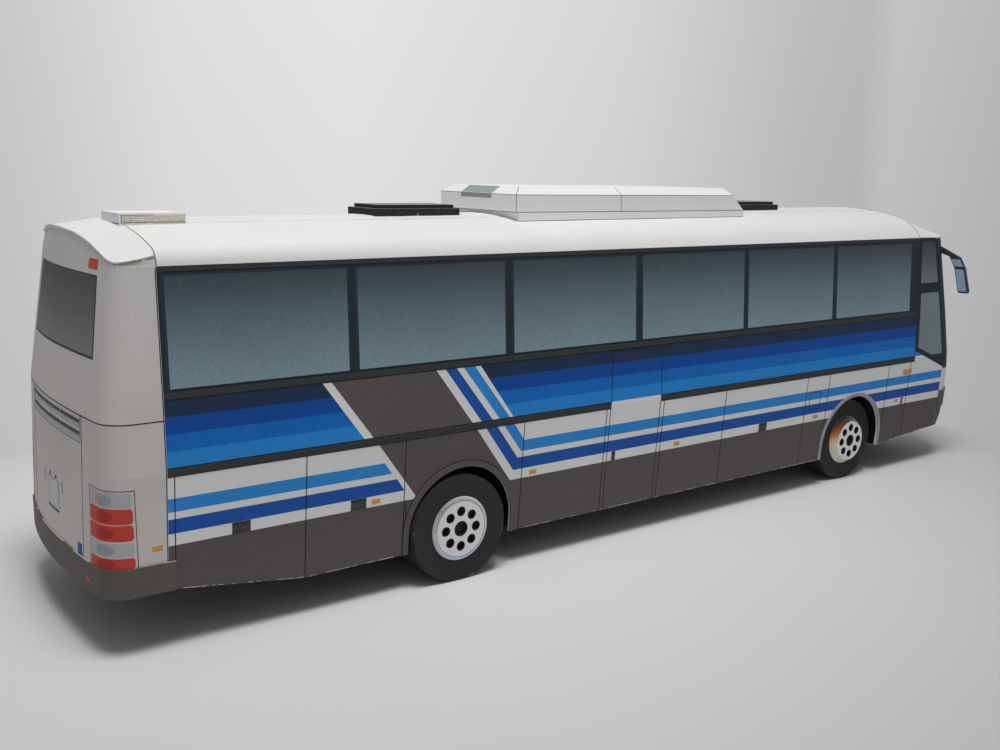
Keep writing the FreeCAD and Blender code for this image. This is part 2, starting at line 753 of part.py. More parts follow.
def oblong(rear, front, half):
    """A rectangle in plan, of three expressions on the sheet."""
    return [(rear, "-(%s)" % half), (front, "-(%s)" % half), (front, half), (rear, half)]


def crown_over(distance):
    """The crown's height at a distance ahead of the roof's rear edge, both as expressions."""
    return ("Sizes.eaves_height + Sizes.roof_rise + Sizes.roof_climb * (%s) / %s"
            % (distance, ROOF_LENGTH))


def seated(name, block):
    """A block cut to the roof's outer face, so that it sits on it all over."""
    return combine("Cut", name, block, roof_space)


# Roof unit: a base whose two long edges reach down to the curved roof, set back at its rear, and
# a folded housing with a hipped top and a sloping front.
UNIT_REAR = REAR_EDGE + " + Sizes.unit_from_edge"
UNIT_FRONT = UNIT_REAR + " + Sizes.unit_length"
SLOPE_END = UNIT_FRONT + " - Sizes.unit_front_slope"
HOUSING_LOW = (crown_over("Sizes.unit_from_edge + Sizes.unit_length")
               + " + Sizes.unit_base_above")
HIP_LOW = HOUSING_LOW + " + Sizes.unit_side_height"
nodes.append(seated("roof_unit_base", box(
    "unit_base_block",
    ("Sizes.unit_length - Sizes.unit_base_recess", "Sizes.unit_width", "Sizes.unit_base_deep"),
    (UNIT_REAR + " + Sizes.unit_base_recess", "-Sizes.unit_width / 2",
     HOUSING_LOW + " - Sizes.unit_base_deep"))))
nodes.append(loft("roof_unit_housing", [
    section("unit_foot", oblong(UNIT_REAR, UNIT_FRONT, "Sizes.unit_width / 2"),
            level(0), HOUSING_LOW),
    section("unit_eaves", oblong(UNIT_REAR, SLOPE_END, "Sizes.unit_width / 2"),
            level(0), HIP_LOW),
    section("unit_top", oblong(UNIT_REAR + " + Sizes.unit_hip",
                               SLOPE_END + " - Sizes.unit_front_hip",
                               "Sizes.unit_width / 2 - Sizes.unit_hip"),
            level(0), HIP_LOW + " + Sizes.unit_hip_height")]))

# Roof hatches: a thick base card and a smaller lid card on it.
for end in ("rear", "front"):
    hatch_rear = "%s + Sizes.%s_hatch_from_edge" % (REAR_EDGE, end)
    hatch_crown = crown_over("Sizes.%s_hatch_from_edge + Sizes.hatch_length / 2" % end)
    nodes.append(seated("hatch_%s_base" % end, box(
        "hatch_%s_block" % end,
        ("Sizes.hatch_length", "Sizes.hatch_width", "2 * Sizes.hatch_base_card"),
        (hatch_rear, "-Sizes.hatch_width / 2", hatch_crown + " - Sizes.hatch_base_card"))))
    nodes.append(box("hatch_%s_lid" % end,
                     ("Sizes.hatch_length - 2 * Sizes.hatch_lid_inset",
                      "Sizes.hatch_width - 2 * Sizes.hatch_lid_inset", "Sizes.hatch_lid_card"),
                     (hatch_rear + " + Sizes.hatch_lid_inset",
                      "Sizes.hatch_lid_inset - Sizes.hatch_width / 2",
                      hatch_crown + " + Sizes.hatch_base_card")))


def vent_card(name, low, thick):
    """A card of the vent, low above the roof: it lies to the right, tilted with the roof."""
    turned = FreeCAD.Rotation(V(1, 0, 0), VENT_TILT)
    aside = size("vent_aside")
    drop = aside * math.tan(math.radians(VENT_TILT)) / 2
    middle = V(rear_edge + size("vent_length") / 2 - size("vent_behind_edge"), -aside,
               eaves_height + roof_rise - drop)
    corner = V(-size("vent_length") / 2, -size("vent_width") / 2, value(low))
    card_block = doc.addObject("Part::Box", name)
    for side, expression in zip(("Length", "Width", "Height"),
                                ("Sizes.vent_length", "Sizes.vent_width", thick)):
        card_block.setExpression(side, expression)
    card_block.Placement = FreeCAD.Placement(middle + turned.multVec(corner), turned)
    doc.recompute()
    return card_block


# Vent: plies of card under a thin cover, tilted to the right and cut to the roof and its cap.
plies = vent_card("vent_block", "-Sizes.vent_plies / 2", "1.5 * Sizes.vent_plies")
nodes.append(combine("Cut", "vent_plies", seated("vent_on_roof", plies),
                     combine("Fuse", "cap_outer", rear_shell, rear_under)))
nodes.append(vent_card("vent_cover", "Sizes.vent_plies", "Sizes.vent_cover_card"))


def mirror_point(side, part, edge):
    """A corner of a mirror's outline across the coach; edge is -1 at its inner edge, 1 outer."""
    out = size("mirror_%s_out" % part) + edge * size("mirror_width") / 2
    return (side * (size("eaves_half_width") + out),
            eaves_height - size("mirror_%s_drop" % part))


# Mirrors: flat card cut-outs across the coach, an arm from each upper corner of the windscreen
# that widens to its elbow, and a bent head of thicker card under it.
MIRROR_PLACE = REAR_EDGE + " + Sizes.side_length - Sizes.eaves_setback + Sizes.mirror_ahead"
corner = size("mirror_corner")
for side, hand in ((-1, "right"), (1, "left")):
    elbow_in, elbow_out = (mirror_point(side, "elbow", edge) for edge in (-1, 1))
    bend_in, bend_out = (mirror_point(side, "bend", edge) for edge in (-1, 1))
    foot_in, foot_out = (mirror_point(side, "foot", edge) for edge in (-1, 1))
    round_off = corner * (1 - math.sqrt(0.5))
    head = new_body("mirror_head_" + hand)
    pad(head, "mirror_head_card_" + hand, "YZ_Plane",
        [elbow_in, elbow_out, bend_out, (foot_out[0], foot_out[1] + corner),
         (foot_out[0] - side * round_off, foot_out[1] + round_off,
          foot_out[0] - side * corner, foot_out[1]),
         (foot_in[0] + side * corner, foot_in[1]),
         (foot_in[0] + side * round_off, foot_in[1] + round_off,
          foot_in[0], foot_in[1] + corner), bend_in],
        "Sizes.mirror_card", MIRROR_PLACE, midplane=True)
    root = (side * (size("eaves_half_width") - size("front_corner_radius")),
            eaves_height - size("mirror_arm_drop"))
    under_root = (root[0], root[1] - size("mirror_arm_width"))
    sag = ((under_root[0] + elbow_in[0]) / 2,
           (under_root[1] + elbow_in[1]) / 2 - size("mirror_arm_sag"))
    arm = new_body("mirror_arm_%s_card" % hand)
    pad(arm, "mirror_arm_outline_" + hand, "YZ_Plane",
        [root, elbow_out, elbow_in, sag + under_root],
        "Sizes.mirror_arm_card", MIRROR_PLACE, midplane=True)
    nodes.append(combine("Cut", "mirror_arm_" + hand, arm, front_space))
    nodes.append(head)

failed = [item.Name for item in doc.Objects
          if "Invalid" in item.State or "Error" in item.State]
failed += [node.Label for node in nodes
           if node.Shape.isNull() or not node.Shape.isValid() or not node.Shape.Solids]
if failed:
    raise SystemExit("failed: " + ", ".join(failed))
for node in nodes:
    node.Shape.exportStep("parts/%s.step" % node.Label)
    print(node.Label, len(node.Shape.Solids), round(node.Shape.Volume, 3))
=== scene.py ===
import math
from functools import partial

import bpy
import numpy as np
from mathutils import Matrix, Vector


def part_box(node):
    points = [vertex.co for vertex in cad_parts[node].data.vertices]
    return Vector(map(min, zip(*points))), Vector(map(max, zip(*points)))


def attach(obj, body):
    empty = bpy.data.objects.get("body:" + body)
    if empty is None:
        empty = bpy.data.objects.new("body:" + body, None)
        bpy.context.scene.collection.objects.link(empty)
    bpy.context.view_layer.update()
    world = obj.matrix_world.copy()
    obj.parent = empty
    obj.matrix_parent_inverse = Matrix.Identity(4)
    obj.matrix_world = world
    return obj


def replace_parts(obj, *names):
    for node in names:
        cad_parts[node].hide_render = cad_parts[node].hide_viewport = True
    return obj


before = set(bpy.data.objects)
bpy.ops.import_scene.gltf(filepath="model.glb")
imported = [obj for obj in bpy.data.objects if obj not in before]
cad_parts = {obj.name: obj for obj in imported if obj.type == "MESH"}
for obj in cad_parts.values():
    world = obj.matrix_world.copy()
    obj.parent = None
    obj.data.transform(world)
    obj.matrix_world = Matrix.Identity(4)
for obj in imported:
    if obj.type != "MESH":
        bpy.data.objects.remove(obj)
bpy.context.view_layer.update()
mm = 0.001

# Camera: a small camera held close to the model's right rear corner, a little above its roof.
# The angles are the photograph's: turned from +X towards +Y, tipped down, and rolled.
yaw, pitch, roll = 0.9264856, 0.1917146, -0.0217289
forward = np.array([math.cos(pitch) * math.cos(yaw), math.cos(pitch) * math.sin(yaw),
                    -math.sin(pitch)])
level = np.array([math.sin(yaw), -math.cos(yaw), 0])
plumb = np.cross(forward, level)
across = math.cos(roll) * level + math.sin(roll) * plumb
down = math.cos(roll) * plumb - math.sin(roll) * level


def linked(name, data):
    """An object of its own for a camera, lamp or mesh, in the scene and at the origin."""
    made = bpy.data.objects.new(name, data)
    bpy.context.collection.objects.link(made)
    return made


lens = bpy.data.cameras.new("close_lens")
lens.sensor_fit, lens.sensor_width, lens.lens = "HORIZONTAL", 36.0, 38.458
lens.clip_start, lens.clip_end = 0.01, 30.0
camera = linked("camera", lens)
turned = Matrix(np.stack([across, -down, -forward], axis=1).tolist()).to_4x4()
eye = (-0.1616485, -0.1827921, 0.0769916)
camera.matrix_world = Matrix.Translation(eye) @ turned
scene = bpy.context.scene
scene.camera = camera

# Table and light: a pale table that fades into a pale backdrop, and one soft box overhead, a
# little towards the camera, as the short shadow under the model shows.
scene.view_settings.view_transform = "Standard"


def srgb(red, green, blue):
    """A colour as seen on a screen, 0 to 255, as the linear light that a shader takes."""
    shown = np.array([red, green, blue]) / 255
    return tuple(np.where(shown <= 0.04045, shown / 12.92, ((shown + 0.055) / 1.055) ** 2.4))


def wire(tree, kind, sockets, **settings):
    """One shader node: its settings, then each socket, filled with a value or another's output."""
    made = tree.nodes.new("ShaderNode" + kind)
    for key, setting in settings.items():
        setattr(made, key, setting)
    for key, filling in sockets.items():
        if isinstance(filling, bpy.types.NodeSocket):
            tree.links.new(filling, made.inputs[key])
        elif made.inputs[key].type == "RGBA":
            made.inputs[key].default_value = (*srgb(*filling), 1.0)
        else:
            made.inputs[key].default_value = filling
    return made.outputs


def maths(tree, operation, *values):
    """One operation on values or other nodes' outputs."""
    return wire(tree, "Math", dict(enumerate(values)), operation=operation)[0]


def mapped(tree, value, low, high, to_low=0.0, to_high=1.0, **settings):
    """A value carried from one span to another and held within it."""
    return wire(tree, "MapRange", {"Value": value, "From Min": low, "From Max": high,
                                   "To Min": to_low, "To Max": to_high}, **settings)[0]


def scaled(tree, colour, tone):
    """A colour times a tone."""
    if isinstance(colour, tuple):
        colour = srgb(*colour)
    return wire(tree, "VectorMath", {0: colour, "Scale": tone}, operation="SCALE")[0]


def grain(tree, place, scale, detail, roughness=0.5):
    """Noise, finer with a larger scale."""
    return wire(tree, "TexNoise", {"Vector": place, "Scale": scale, "Detail": detail,
                                   "Roughness": roughness})[0]


def graded(tree, share, tones):
    """A colour ramp: each tone is a place from 0 to 1 and a colour, and the ends keep theirs."""
    ramp = wire(tree, "ValToRGB", {"Fac": share})["Color"]
    stops = ramp.node.color_ramp.elements
    for stop, (_, tone) in ((stops[0], tones[0]), (stops[1], tones[-1])):
        stop.color = (*srgb(*tone), 1.0)
    for place_on, tone in tones:
        stops.new(place_on).color = (*srgb(*tone), 1.0)
    return ramp


def mesh_object(name, points, faces, material):
    """An object from points and faces, with one material."""
    mesh = bpy.data.meshes.new(name)
    mesh.from_pydata(points.tolist(), [], faces.tolist())
    mesh.materials.append(material)
    return linked(name, mesh)


def quads(index):
    """The faces between the rows and columns of a grid of point numbers."""
    return np.stack([index[:-1, :-1], index[:-1, 1:], index[1:, 1:], index[1:, :-1]],
                    axis=-1).reshape(-1, 4)


def xyz(x, y, z):
    """Points from their three coordinates, each spread over the others' grid."""
    return np.stack(np.broadcast_arrays(x, y, z), axis=-1)


def backdrop(tree, heading):
    """The walls' painted light and shade in a direction from the camera: a ramp round the horizon,
    paler upwards.
    """
    heading = wire(tree, "VectorMath", {0: heading}, operation="NORMALIZE")[0]
    parts = wire(tree, "SeparateXYZ", {0: heading})
    turn = maths(tree, "ARCTAN2", parts["Y"], parts["X"])
    share = mapped(tree, turn, -math.pi, math.pi)
    behind = (196, 196, 196)
    ahead = [((degrees + 180) / 360, (tone, tone, tone + 1)) for degrees, tone in (
        (0, 186), (28, 182), (34.6, 197), (34.8, 184), (38, 189), (47, 214), (61, 228),
        (70, 222), (78, 200))]
    ramp = graded(tree, share, [(0, behind), *ahead, (1, behind)])
    paler = mapped(tree, parts["Z"], -0.25, 0.15, 0.89)
    return scaled(tree, ramp, paler)


studio = bpy.data.worlds.new("studio")
studio.use_nodes = True
scene.world = studio
tree = studio.node_tree
tree.nodes.clear()
ray = wire(tree, "LightPath", {})
seen = maths(tree, "MAXIMUM", ray["Is Camera Ray"], ray["Is Glossy Ray"])
fill = wire(tree, "Background", {"Color": (255, 255, 255), "Strength": 0.24})[0]
wall_tone = backdrop(tree, wire(tree, "TexCoord", {})["Generated"])
wall = wire(tree, "Background", {"Color": wall_tone, "Strength": 1.0})[0]
lit = wire(tree, "MixShader", {0: seen, 1: fill, 2: wall})[0]
wire(tree, "OutputWorld", {"Surface": lit})

lamp = bpy.data.lights.new("soft_box", "AREA")
lamp.shape, lamp.size, lamp.energy = "SQUARE", 0.18, 1.62
soft_box = linked("soft_box", lamp)
soft_box.location = (-0.1, -0.12, 0.5)
soft_box.rotation_euler = (Vector((0, 0, 0.03)) - soft_box.location).to_track_quat(
    "-Z", "Y").to_euler()

table_card = bpy.data.materials.new("table_card")
table_card.use_nodes = True
tree = table_card.node_tree
tree.nodes.clear()
place = wire(tree, "TexCoord", {})["Object"]
far = wire(tree, "VectorMath", {0: place}, operation="LENGTH")["Value"]
fade = mapped(tree, far, 0.35, 0.8, interpolation_type="SMOOTHSTEP")
# The walls stand on three lines, each a direction across the table and a distance from the
# middle; whatever lies beyond a line glows with the walls' painted light and shade instead of
# being lit.
beyond = -1.0
for across_x, across_y, distance in ((0, 1, 0.109), (0.3654, 0.9309, 0.0815), (1, 0, 0.1465)):
    along = wire(tree, "VectorMath", {0: place, 1: (across_x, across_y, 0)},
                 operation="DOT_PRODUCT")["Value"]
    past = maths(tree, "SUBTRACT", along, distance)
    beyond = maths(tree, "MAXIMUM", past, beyond)
on_wall = mapped(tree, beyond, -0.0006, 0.0006)
clouds = grain(tree, place, 9.0, 2.0)
tone = mapped(tree, clouds, 0.3, 0.7, 0.985, 1.015)
# A painted pool of light: the table is palest in an oval pool, and its tone falls with the
# square of the distance from there.
oval = wire(tree, "Mapping", {"Vector": place, "Location": (0.04, 0.11, 0),
                              "Rotation": (0, 0, math.radians(40)), "Scale": (1.0, 1 / 1.5, 1.0)},
            vector_type="TEXTURE")[0]
apart = wire(tree, "VectorMath", {0: oval, 1: oval}, operation="DOT_PRODUCT")["Value"]
painted_light_pool = maths(tree, "MULTIPLY_ADD", apart, -6.17, 1.236)
painted_light_pool = wire(tree, "Clamp", {"Value": painted_light_pool, "Min": 0.6, "Max": 1.13})[0]
tone = maths(tree, "MULTIPLY", tone, painted_light_pool)
tint = scaled(tree, (225, 225, 225), tone)
matt = wire(tree, "BsdfDiffuse", {"Color": tint})[0]
heading = wire(tree, "VectorMath", {0: place, 1: eye}, operation="SUBTRACT")[0]
haze = wire(tree, "Emission", {"Color": backdrop(tree, heading), "Strength": 1.0})[0]
share = maths(tree, "MAXIMUM", fade, on_wall)
blend = wire(tree, "MixShader", {0: share, 1: matt, 2: haze})[0]
wire(tree, "OutputMaterial", {"Surface": blend})
rings, spokes = 25, 64
reach = np.linspace(0, 1, rings)[:, None] ** 2 * 6.0
turn = np.linspace(0, 2 * math.pi, spokes + 1)[None, :-1]
ground = xyz(reach * np.cos(turn), reach * np.sin(turn), 0.0)
number = np.arange(rings * spokes).reshape(rings, spokes)
number = np.c_[number, number[:, :1]]
table = mesh_object("table", ground.reshape(-1, 3), quads(number)[:, ::-1], table_card)

# Body card: the whole body is folded from thin white card, which shows bare on the roof, the
# caps, the rear and the nose, and as a white line wherever a sheet is cut.


def card_stock(name, colour, speck=0.04, cloud=0.03, roughness=0.7, fibre=1.0):
    """Card: a colour broken by fine specks and slow clouds, both as factors on it, and a bump.

    The colour is one, or a function that adds its own nodes and gives their output.
    """
    material = bpy.data.materials.new(name)
    material.use_nodes = True
    tree = material.node_tree
    place = wire(tree, "TexCoord", {})["Object"]
    if callable(colour):
        colour = colour(tree, place)
    fine = grain(tree, place, 2600.0, 3.0, 0.7)
    slow = grain(tree, place, 60.0, 3.0)
    tones = [mapped(tree, noise, 0.3, 0.7, 1 - depth, 1 + depth)
             for noise, depth in ((fine, speck), (slow, cloud))]
    tone = maths(tree, "MULTIPLY", tones[0], tones[1])
    tint = scaled(tree, colour, tone)
    shader = tree.nodes["Principled BSDF"]
    tree.links.new(tint, shader.inputs["Base Color"])
    shader.inputs["Roughness"].default_value = roughness
    shader.inputs["Specular IOR Level"].default_value = 0.1
    raised = wire(tree, "Bump", {"Strength": 0.5, "Distance": 6e-6 * fibre, "Height": fine})[0]
    tree.links.new(raised, shader.inputs["Normal"])
    return material


def cover(names, material):
    """Give CAD nodes a material."""
    for name in names:
        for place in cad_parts[name].material_slots:
            place.material = material


white = (231, 231, 230)
white_card = card_stock("white_card", white, speck=0.025, cloud=0.02)
hands = {"right": -1, "left": 1}
cover(["side_panel_right", "side_panel_left", "roof_panel", "roof_cap_rear", "roof_cap_front",
       "rear_panel_upper", "rear_panel_lower", "windscreen_panel", "nose_panel"], white_card)

# Sides' print: the livery is inkjet print on the folded card. Each colour lies on the card as a
# closed film a few hundredths of a millimetre thick, cut out over the wheel arches.
skirt, waist, band, eaves, eaves_half = 6.9, 29.6, 41.0, 61.4, 23.8
rear_edge, front_edge, seam = -107.15, 108.25, 93.85
screen_low, setback = 25.6, 7.0
rear_axle, front_axle, axle_height = -52.05, 69.95, 10.3
rear_opening = rear_axle + 1.0
foot_rear, foot_front = -83.45, 72.95
core = np.array([0, 0, 35.0])
ink_step = 0.012


def half_width(z):
    """Half the body's width at a height: straight between skirt, waist, band and eaves."""
    return np.interp(z, [skirt, waist, band, eaves], [23.9, 25.4, 25.0, eaves_half])


def lay(name, sheets, ink, lift=1, body="coach", ring=False,
        under=ink_step):
    """A film of ink, or a card, from sheets: grids of points in millimetres.

    Each grid's face stands lift films off its points along their normal, the cross product of
    the steps along columns and rows; its back lies under them, and a rim closes the edge.
    """
    points, faces, start = [], [], 0
    for sheet in sheets:
        normal = np.cross(np.gradient(sheet, axis=1), np.gradient(sheet, axis=0))
        normal /= np.maximum(np.linalg.norm(normal, axis=-1, keepdims=True), 1e-12)
        if (normal * (sheet - core)).sum() < 0:
            sheet, normal = sheet[:, ::-1], -normal[:, ::-1]
        rows, columns = sheet.shape[:2]
        front = np.arange(rows * columns).reshape(rows, columns) + start
        if ring:
            front = np.c_[front, front[:, :1]]
            edges = [front[0], front[-1, ::-1]]
        else:
            edges = [np.r_[front[0], front[1:, -1], front[-1, -2::-1], front[-2::-1, 0]]]
        count = rows * columns
        for edge in edges:
            faces.append(np.stack([edge[:-1], edge[:-1] + count, edge[1:] + count, edge[1:]], -1))
        faces += [quads(front), quads(front)[:, ::-1] + count]
        points += [(sheet + normal * ink_step * lift).reshape(-1, 3),
                   (sheet - normal * under).reshape(-1, 3)]
        start += 2 * count
    made = mesh_object(name, np.concatenate(points) * mm, np.concatenate(faces), ink)
    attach(made, body)
    return made


def slant(top, foot):
    """The straight line through two points (x, z), as x for a height."""
    return lambda z: top[0] + (foot[0] - top[0]) * (top[1] - z) / (top[1] - foot[1])


def arch_edge(axle, radius, way):
    """The edge of an opening round an axle as x for a height: a circle, then straight down."""
    return lambda z: axle + way * np.sqrt(
        np.maximum(radius ** 2 - np.maximum(z - axle_height, 0) ** 2, 0))


def at(edge, z):
    """An edge's place at a height: the edge is a number or a function of the height."""
    return edge(z) if callable(edge) else edge + 0 * z


def foot_height(x):
    """The height of the sides' lower edge: it rises straight towards both ends."""
    return np.interp(x, [rear_edge, foot_rear, foot_front, front_edge], [10.2, skirt, skirt, 9.4])


def side_sheet(hand, left, right, low, high, rows=2, to_foot=False):
    """A grid on a side: x runs from left to right and z from low to high, bends included.

    The half width follows from z. A sheet to the foot is stretched down to the lower edge.
    """
    bends = [z for z in (waist, band) if low < z < high]
    z = np.unique(np.r_[np.linspace(low, high, rows), bends])[:, None]
    x = np.hstack([at(left, z), at(right, z)])
    z = z + 0 * x
    if to_foot:
        z = high - (high - z) / (high - low) * (high - foot_height(x))
    return xyz(x, hand * half_width(z), z)


def side_front(z):
    """The front edge of a side: upright, then leaning back along the windscreen."""
    return front_edge - setback * np.maximum(z - screen_low, 0) / (eaves - screen_low)


print_rear, livery_top, livery_foot = -107.1, 40.9, 17.5
navy_low, navy_high, sky_low, sky_high = 19.5, 21.9, 23.1, 25.3
white_a_rear = slant((-80.2, livery_top), (-72.4, 30.3))
white_a_front = slant((-78.5, livery_top), (-61.1, 17.6))
white_b_rear = slant((-57.4, livery_top), (-39.8, 17.4))
navy_b_rear = slant((-55.4, livery_top), (-39.25, navy_low))
navy_b_front = slant((-52.95, livery_top), (-38.35, navy_high))
sky_b_rear = slant((-51.4, livery_top), (-37.45, 22.9))
sky_b_front = slant((-48.9, livery_top), (-36.9, sky_high))
bands_rear = slant((-47.6, livery_top), (-40.0, 30.45))
frame_low, frame_high = 26.2, 31.5
frame_foot = slant((95.2, 31.2), (108.0, frame_low))
rear_cut, front_cut = 12.3, 12.1
field_top = axle_height + rear_cut - 0.01
to_rear, from_rear = (arch_edge(rear_opening, rear_cut, way) for way in (-1, 1))
to_front, from_front = (arch_edge(front_axle, front_cut, way) for way in (-1, 1))

inks = {name: card_stock("ink_" + name, colour, speck=speck, roughness=0.55)
        for name, colour, speck in (
            ("night", (41, 57, 88), 0.12), ("blue", (25, 80, 164), 0.12),
            ("mid", (27, 111, 198), 0.1), ("light", (46, 138, 217), 0.1),
            ("sky", (56, 144, 222), 0.07), ("navy", (38, 90, 176), 0.08),
            ("umber", (96, 91, 90), 0.13), ("line", (40, 42, 43), 0.05))}
for name, hand in hands.items():
    strip = partial(side_sheet, hand)
    for ink, high, low in (("night", livery_top, 38.3), ("blue", 38.3, 35.6),
                           ("mid", 35.6, 32.9), ("light", 32.9, 30.3)):
        sheets = [strip(print_rear, white_a_rear, low, high),
                  strip(bands_rear, seam + 0.2, low, high)]
        if ink == "light":
            sheets.append(strip(seam + 0.22, frame_foot, low, frame_high))
        lay("band_%s_%s" % (ink, name), sheets, inks[ink])
    lay("stripe_sky_" + name, [
        strip(print_rear, slant((-68.2, sky_high), (-66.6, sky_low)), sky_low, sky_high),
        strip(sky_b_rear, front_edge - 0.1, sky_low, sky_high),
        strip(sky_b_rear, sky_b_front, sky_high, livery_top)], inks["sky"])
    lay("stripe_navy_" + name, [
        strip(print_rear, slant((-65.5, navy_high), (-63.9, navy_low)), navy_low, navy_high),
        strip(navy_b_rear, to_front, navy_low, navy_high, rows=9),
        strip(from_front, front_edge - 0.1, navy_low, navy_high, rows=9),
        strip(navy_b_rear, navy_b_front, navy_high, livery_top)], inks["navy"])
    lay("field_umber_" + name, [
        strip(white_a_front, white_b_rear, field_top, livery_top),
        strip(white_a_front, to_rear, livery_foot, field_top, rows=13),
        strip(from_rear, white_b_rear, livery_foot, field_top, rows=13),
        strip(print_rear, foot_rear, skirt, livery_foot, to_foot=True),
        strip(foot_rear, to_rear, skirt, livery_foot, rows=13),
        strip(from_rear, to_front, skirt, livery_foot, rows=13),
        strip(from_front, front_edge - 0.05, skirt, livery_foot, rows=13, to_foot=True)],
        inks["umber"])

# Windows: printed too, as one dark band with six panes and a quarter pane on each side. The
# panes fade from dark at their top to pale grey-blue at their foot, with a dark edge strip.
pane_low, pane_high, belt_low = 42.6, 59.9, 28.9
panes = [(-106.0, -75.0), (-73.0, -41.8), (-39.7, -8.1), (-6.1, 25.2), (26.8, 57.5),
         (59.2, 90.1)]


def window_fade(low, high, tones):
    """A colour that changes with height: a ramp on Object Z between two levels."""
    def fade(tree, place):
        height = wire(tree, "SeparateXYZ", {0: place})["Z"]
        share = mapped(tree, height, low * mm, high * mm)
        return graded(tree, share, tones)
    return fade


glass_tones = [(0.02, (132, 155, 163)), (0.35, (118, 138, 147)), (0.62, (99, 118, 126)),
               (0.85, (80, 93, 99)), (0.98, (72, 82, 86))]
glass = card_stock("glass_print", window_fade(pane_low, pane_high, glass_tones), speck=0.14,
                   cloud=0.05, roughness=0.5)
quarter_glass = card_stock("quarter_glass_print", window_fade(28, pane_high, [
    (0.02, (130, 145, 151)), (0.6, (130, 143, 149)), (0.98, (76, 82, 87))]), speck=0.1)
rubber, trim, strip_edge = (
    card_stock(name + "_print", colour, speck=0.08, roughness=0.55) for name, colour in (
        ("rubber", (45, 53, 56)), ("trim", (62, 64, 67)), ("pane_edge", (48, 60, 74))))
band_top = eaves - 0.03
for name, hand in hands.items():
    strip = partial(side_sheet, hand)
    lay("window_band_" + name, [
        strip(print_rear, seam + 0.1, livery_top, band_top),
        strip(seam + 0.12, lambda z: side_front(z) + 0.01, frame_high, band_top, rows=5),
        strip(frame_foot, lambda z: side_front(z) + 0.01, frame_low + 0.05, frame_high, rows=5)],
        rubber)
    lay("window_trim_" + name, [strip(*span) for span in (
        (print_rear, seam, 41.1, 42.2), (print_rear, seam, 60.55, eaves - 0.15),
        (print_rear, -14.6, belt_low, 30.25), (-0.35, seam, belt_low, 30.25))], trim, lift=2)
    lay("pane_edges_" + name, [
        strip(left - 0.5, right + 0.3, pane_low - 0.1, pane_high + 0.35)
        for left, right in panes], strip_edge, lift=2)
    lay("panes_" + name, [strip(left, right, pane_low, pane_high) for left, right in panes],
        glass, lift=3)
    lay("quarter_panes_" + name, [
        strip(left, lambda z: side_front(z) - 0.7, low, high) for left, low, high in (
            (95.0, 49.5, 60.3), (95.3, 32.5, 46.8),
            (slant((95.3, 32.5), (101.9, 30.0)), 30.0, 32.5))], quarter_glass, lift=3)

# Doors, hatches and handles: hairlines of dark print round each locker door, with recessed
# handles as dark blocks and small amber side markers between the stripes.
hairline = 0.16
amber = card_stock("amber_print", (215, 158, 90), speck=0.1, roughness=0.5)
dark_recess = card_stock("recess_print", window_fade(17.4, 19.5, [
    (0.02, (66, 62, 58)), (0.45, (84, 82, 80)), (0.9, (58, 57, 56))]), speck=0.1)
uprights = [(x, foot_height(x), belt_low) for x in (
    -106.0, -83.4, -63.9, -37.1, -15.7, -14.7, -0.35, 0.8, 20.5, 49.7, 83.0, 92.6)]
uprights += [(58.2, 15.0, belt_low), (-63.45, 7.0, livery_foot), (-14.55, 30.2, 40.8),
             (-0.3, 30.2, 40.8)]
levels = [(-14.55, -0.3, 40.7, 40.85),
          (print_rear, -14.6, 28.8, 28.95), (-0.35, seam, 28.8, 28.95),
          (print_rear, -14.6, 30.2, 30.33), (-0.35, seam, 30.2, 30.33),
          (print_rear, seam, 42.2, 42.4), (print_rear, seam, 60.4, 60.58),
          (print_rear, seam, 40.9, 41.1), (seam + 0.05, seam + 0.25, belt_low, eaves - 0.05)]
handles = [(-96.6, -93.4), (-74.8, -71.7), (-13.4, -12.4), (33.2, 36.0), (90.4, 91.1)]
markers = [(-70.6, -68.9, 18.0, 18.85), (-35.2, -33.4, 17.95, 18.8), (5.0, 6.8, 18.05, 18.95),
           (53.3, 55.1, 18.15, 19.05), (89.6, 93.4, 25.55, 27.0), (87.5, 89.0, 18.45, 19.15)]
for name, hand in hands.items():
    strip = partial(side_sheet, hand)
    lay("hairlines_" + name,
        [strip(x - hairline / 2, x + hairline / 2, low, high) for x, low, high in uprights]
        + [strip(*span) for span in levels], inks["line"], lift=3)
    lay("handles_" + name, [strip(left, right, 17.5, 19.45) for left, right in handles],
        dark_recess, lift=3)
    lay("markers_" + name, [strip(*span) for span in markers], amber, lift=3)


def rounded(centre, size, corner):
    """A closed path round a rectangle whose corners are quarter circles of nine points."""
    turn = np.linspace(0, math.pi / 2, 9)[None, :] + np.arange(4)[:, None] * math.pi / 2
    sign_x, sign_z = np.array([1, -1, -1, 1])[:, None], np.array([1, 1, -1, -1])[:, None]
    x = centre[0] + sign_x * (size[0] / 2 - corner) + corner * np.cos(turn)
    z = centre[1] + sign_z * (size[1] / 2 - corner) + corner * np.sin(turn)
    return x.ravel(), z.ravel()


for name, hand in hands.items():
    paths = [rounded((53.3, 22.75), (4.1 + step, 4.3 + step), 0.6 + step / 2)
             for step in (-0.13, 0.13)]
    x, z = np.swapaxes(paths, 0, 1)
    lay("filler_flap_" + name, [xyz(x, hand * half_width(z), z)], inks["line"], lift=3, ring=True)

# Rear end: a window, two louvres, an engine hatch, a blank number plate and tall lamp clusters,
# all printed on card that is bent round the corners.
bumper_top, bumper_proud, rear_joint, rear_bow = 14.9, 0.25, 37.9, 115.0


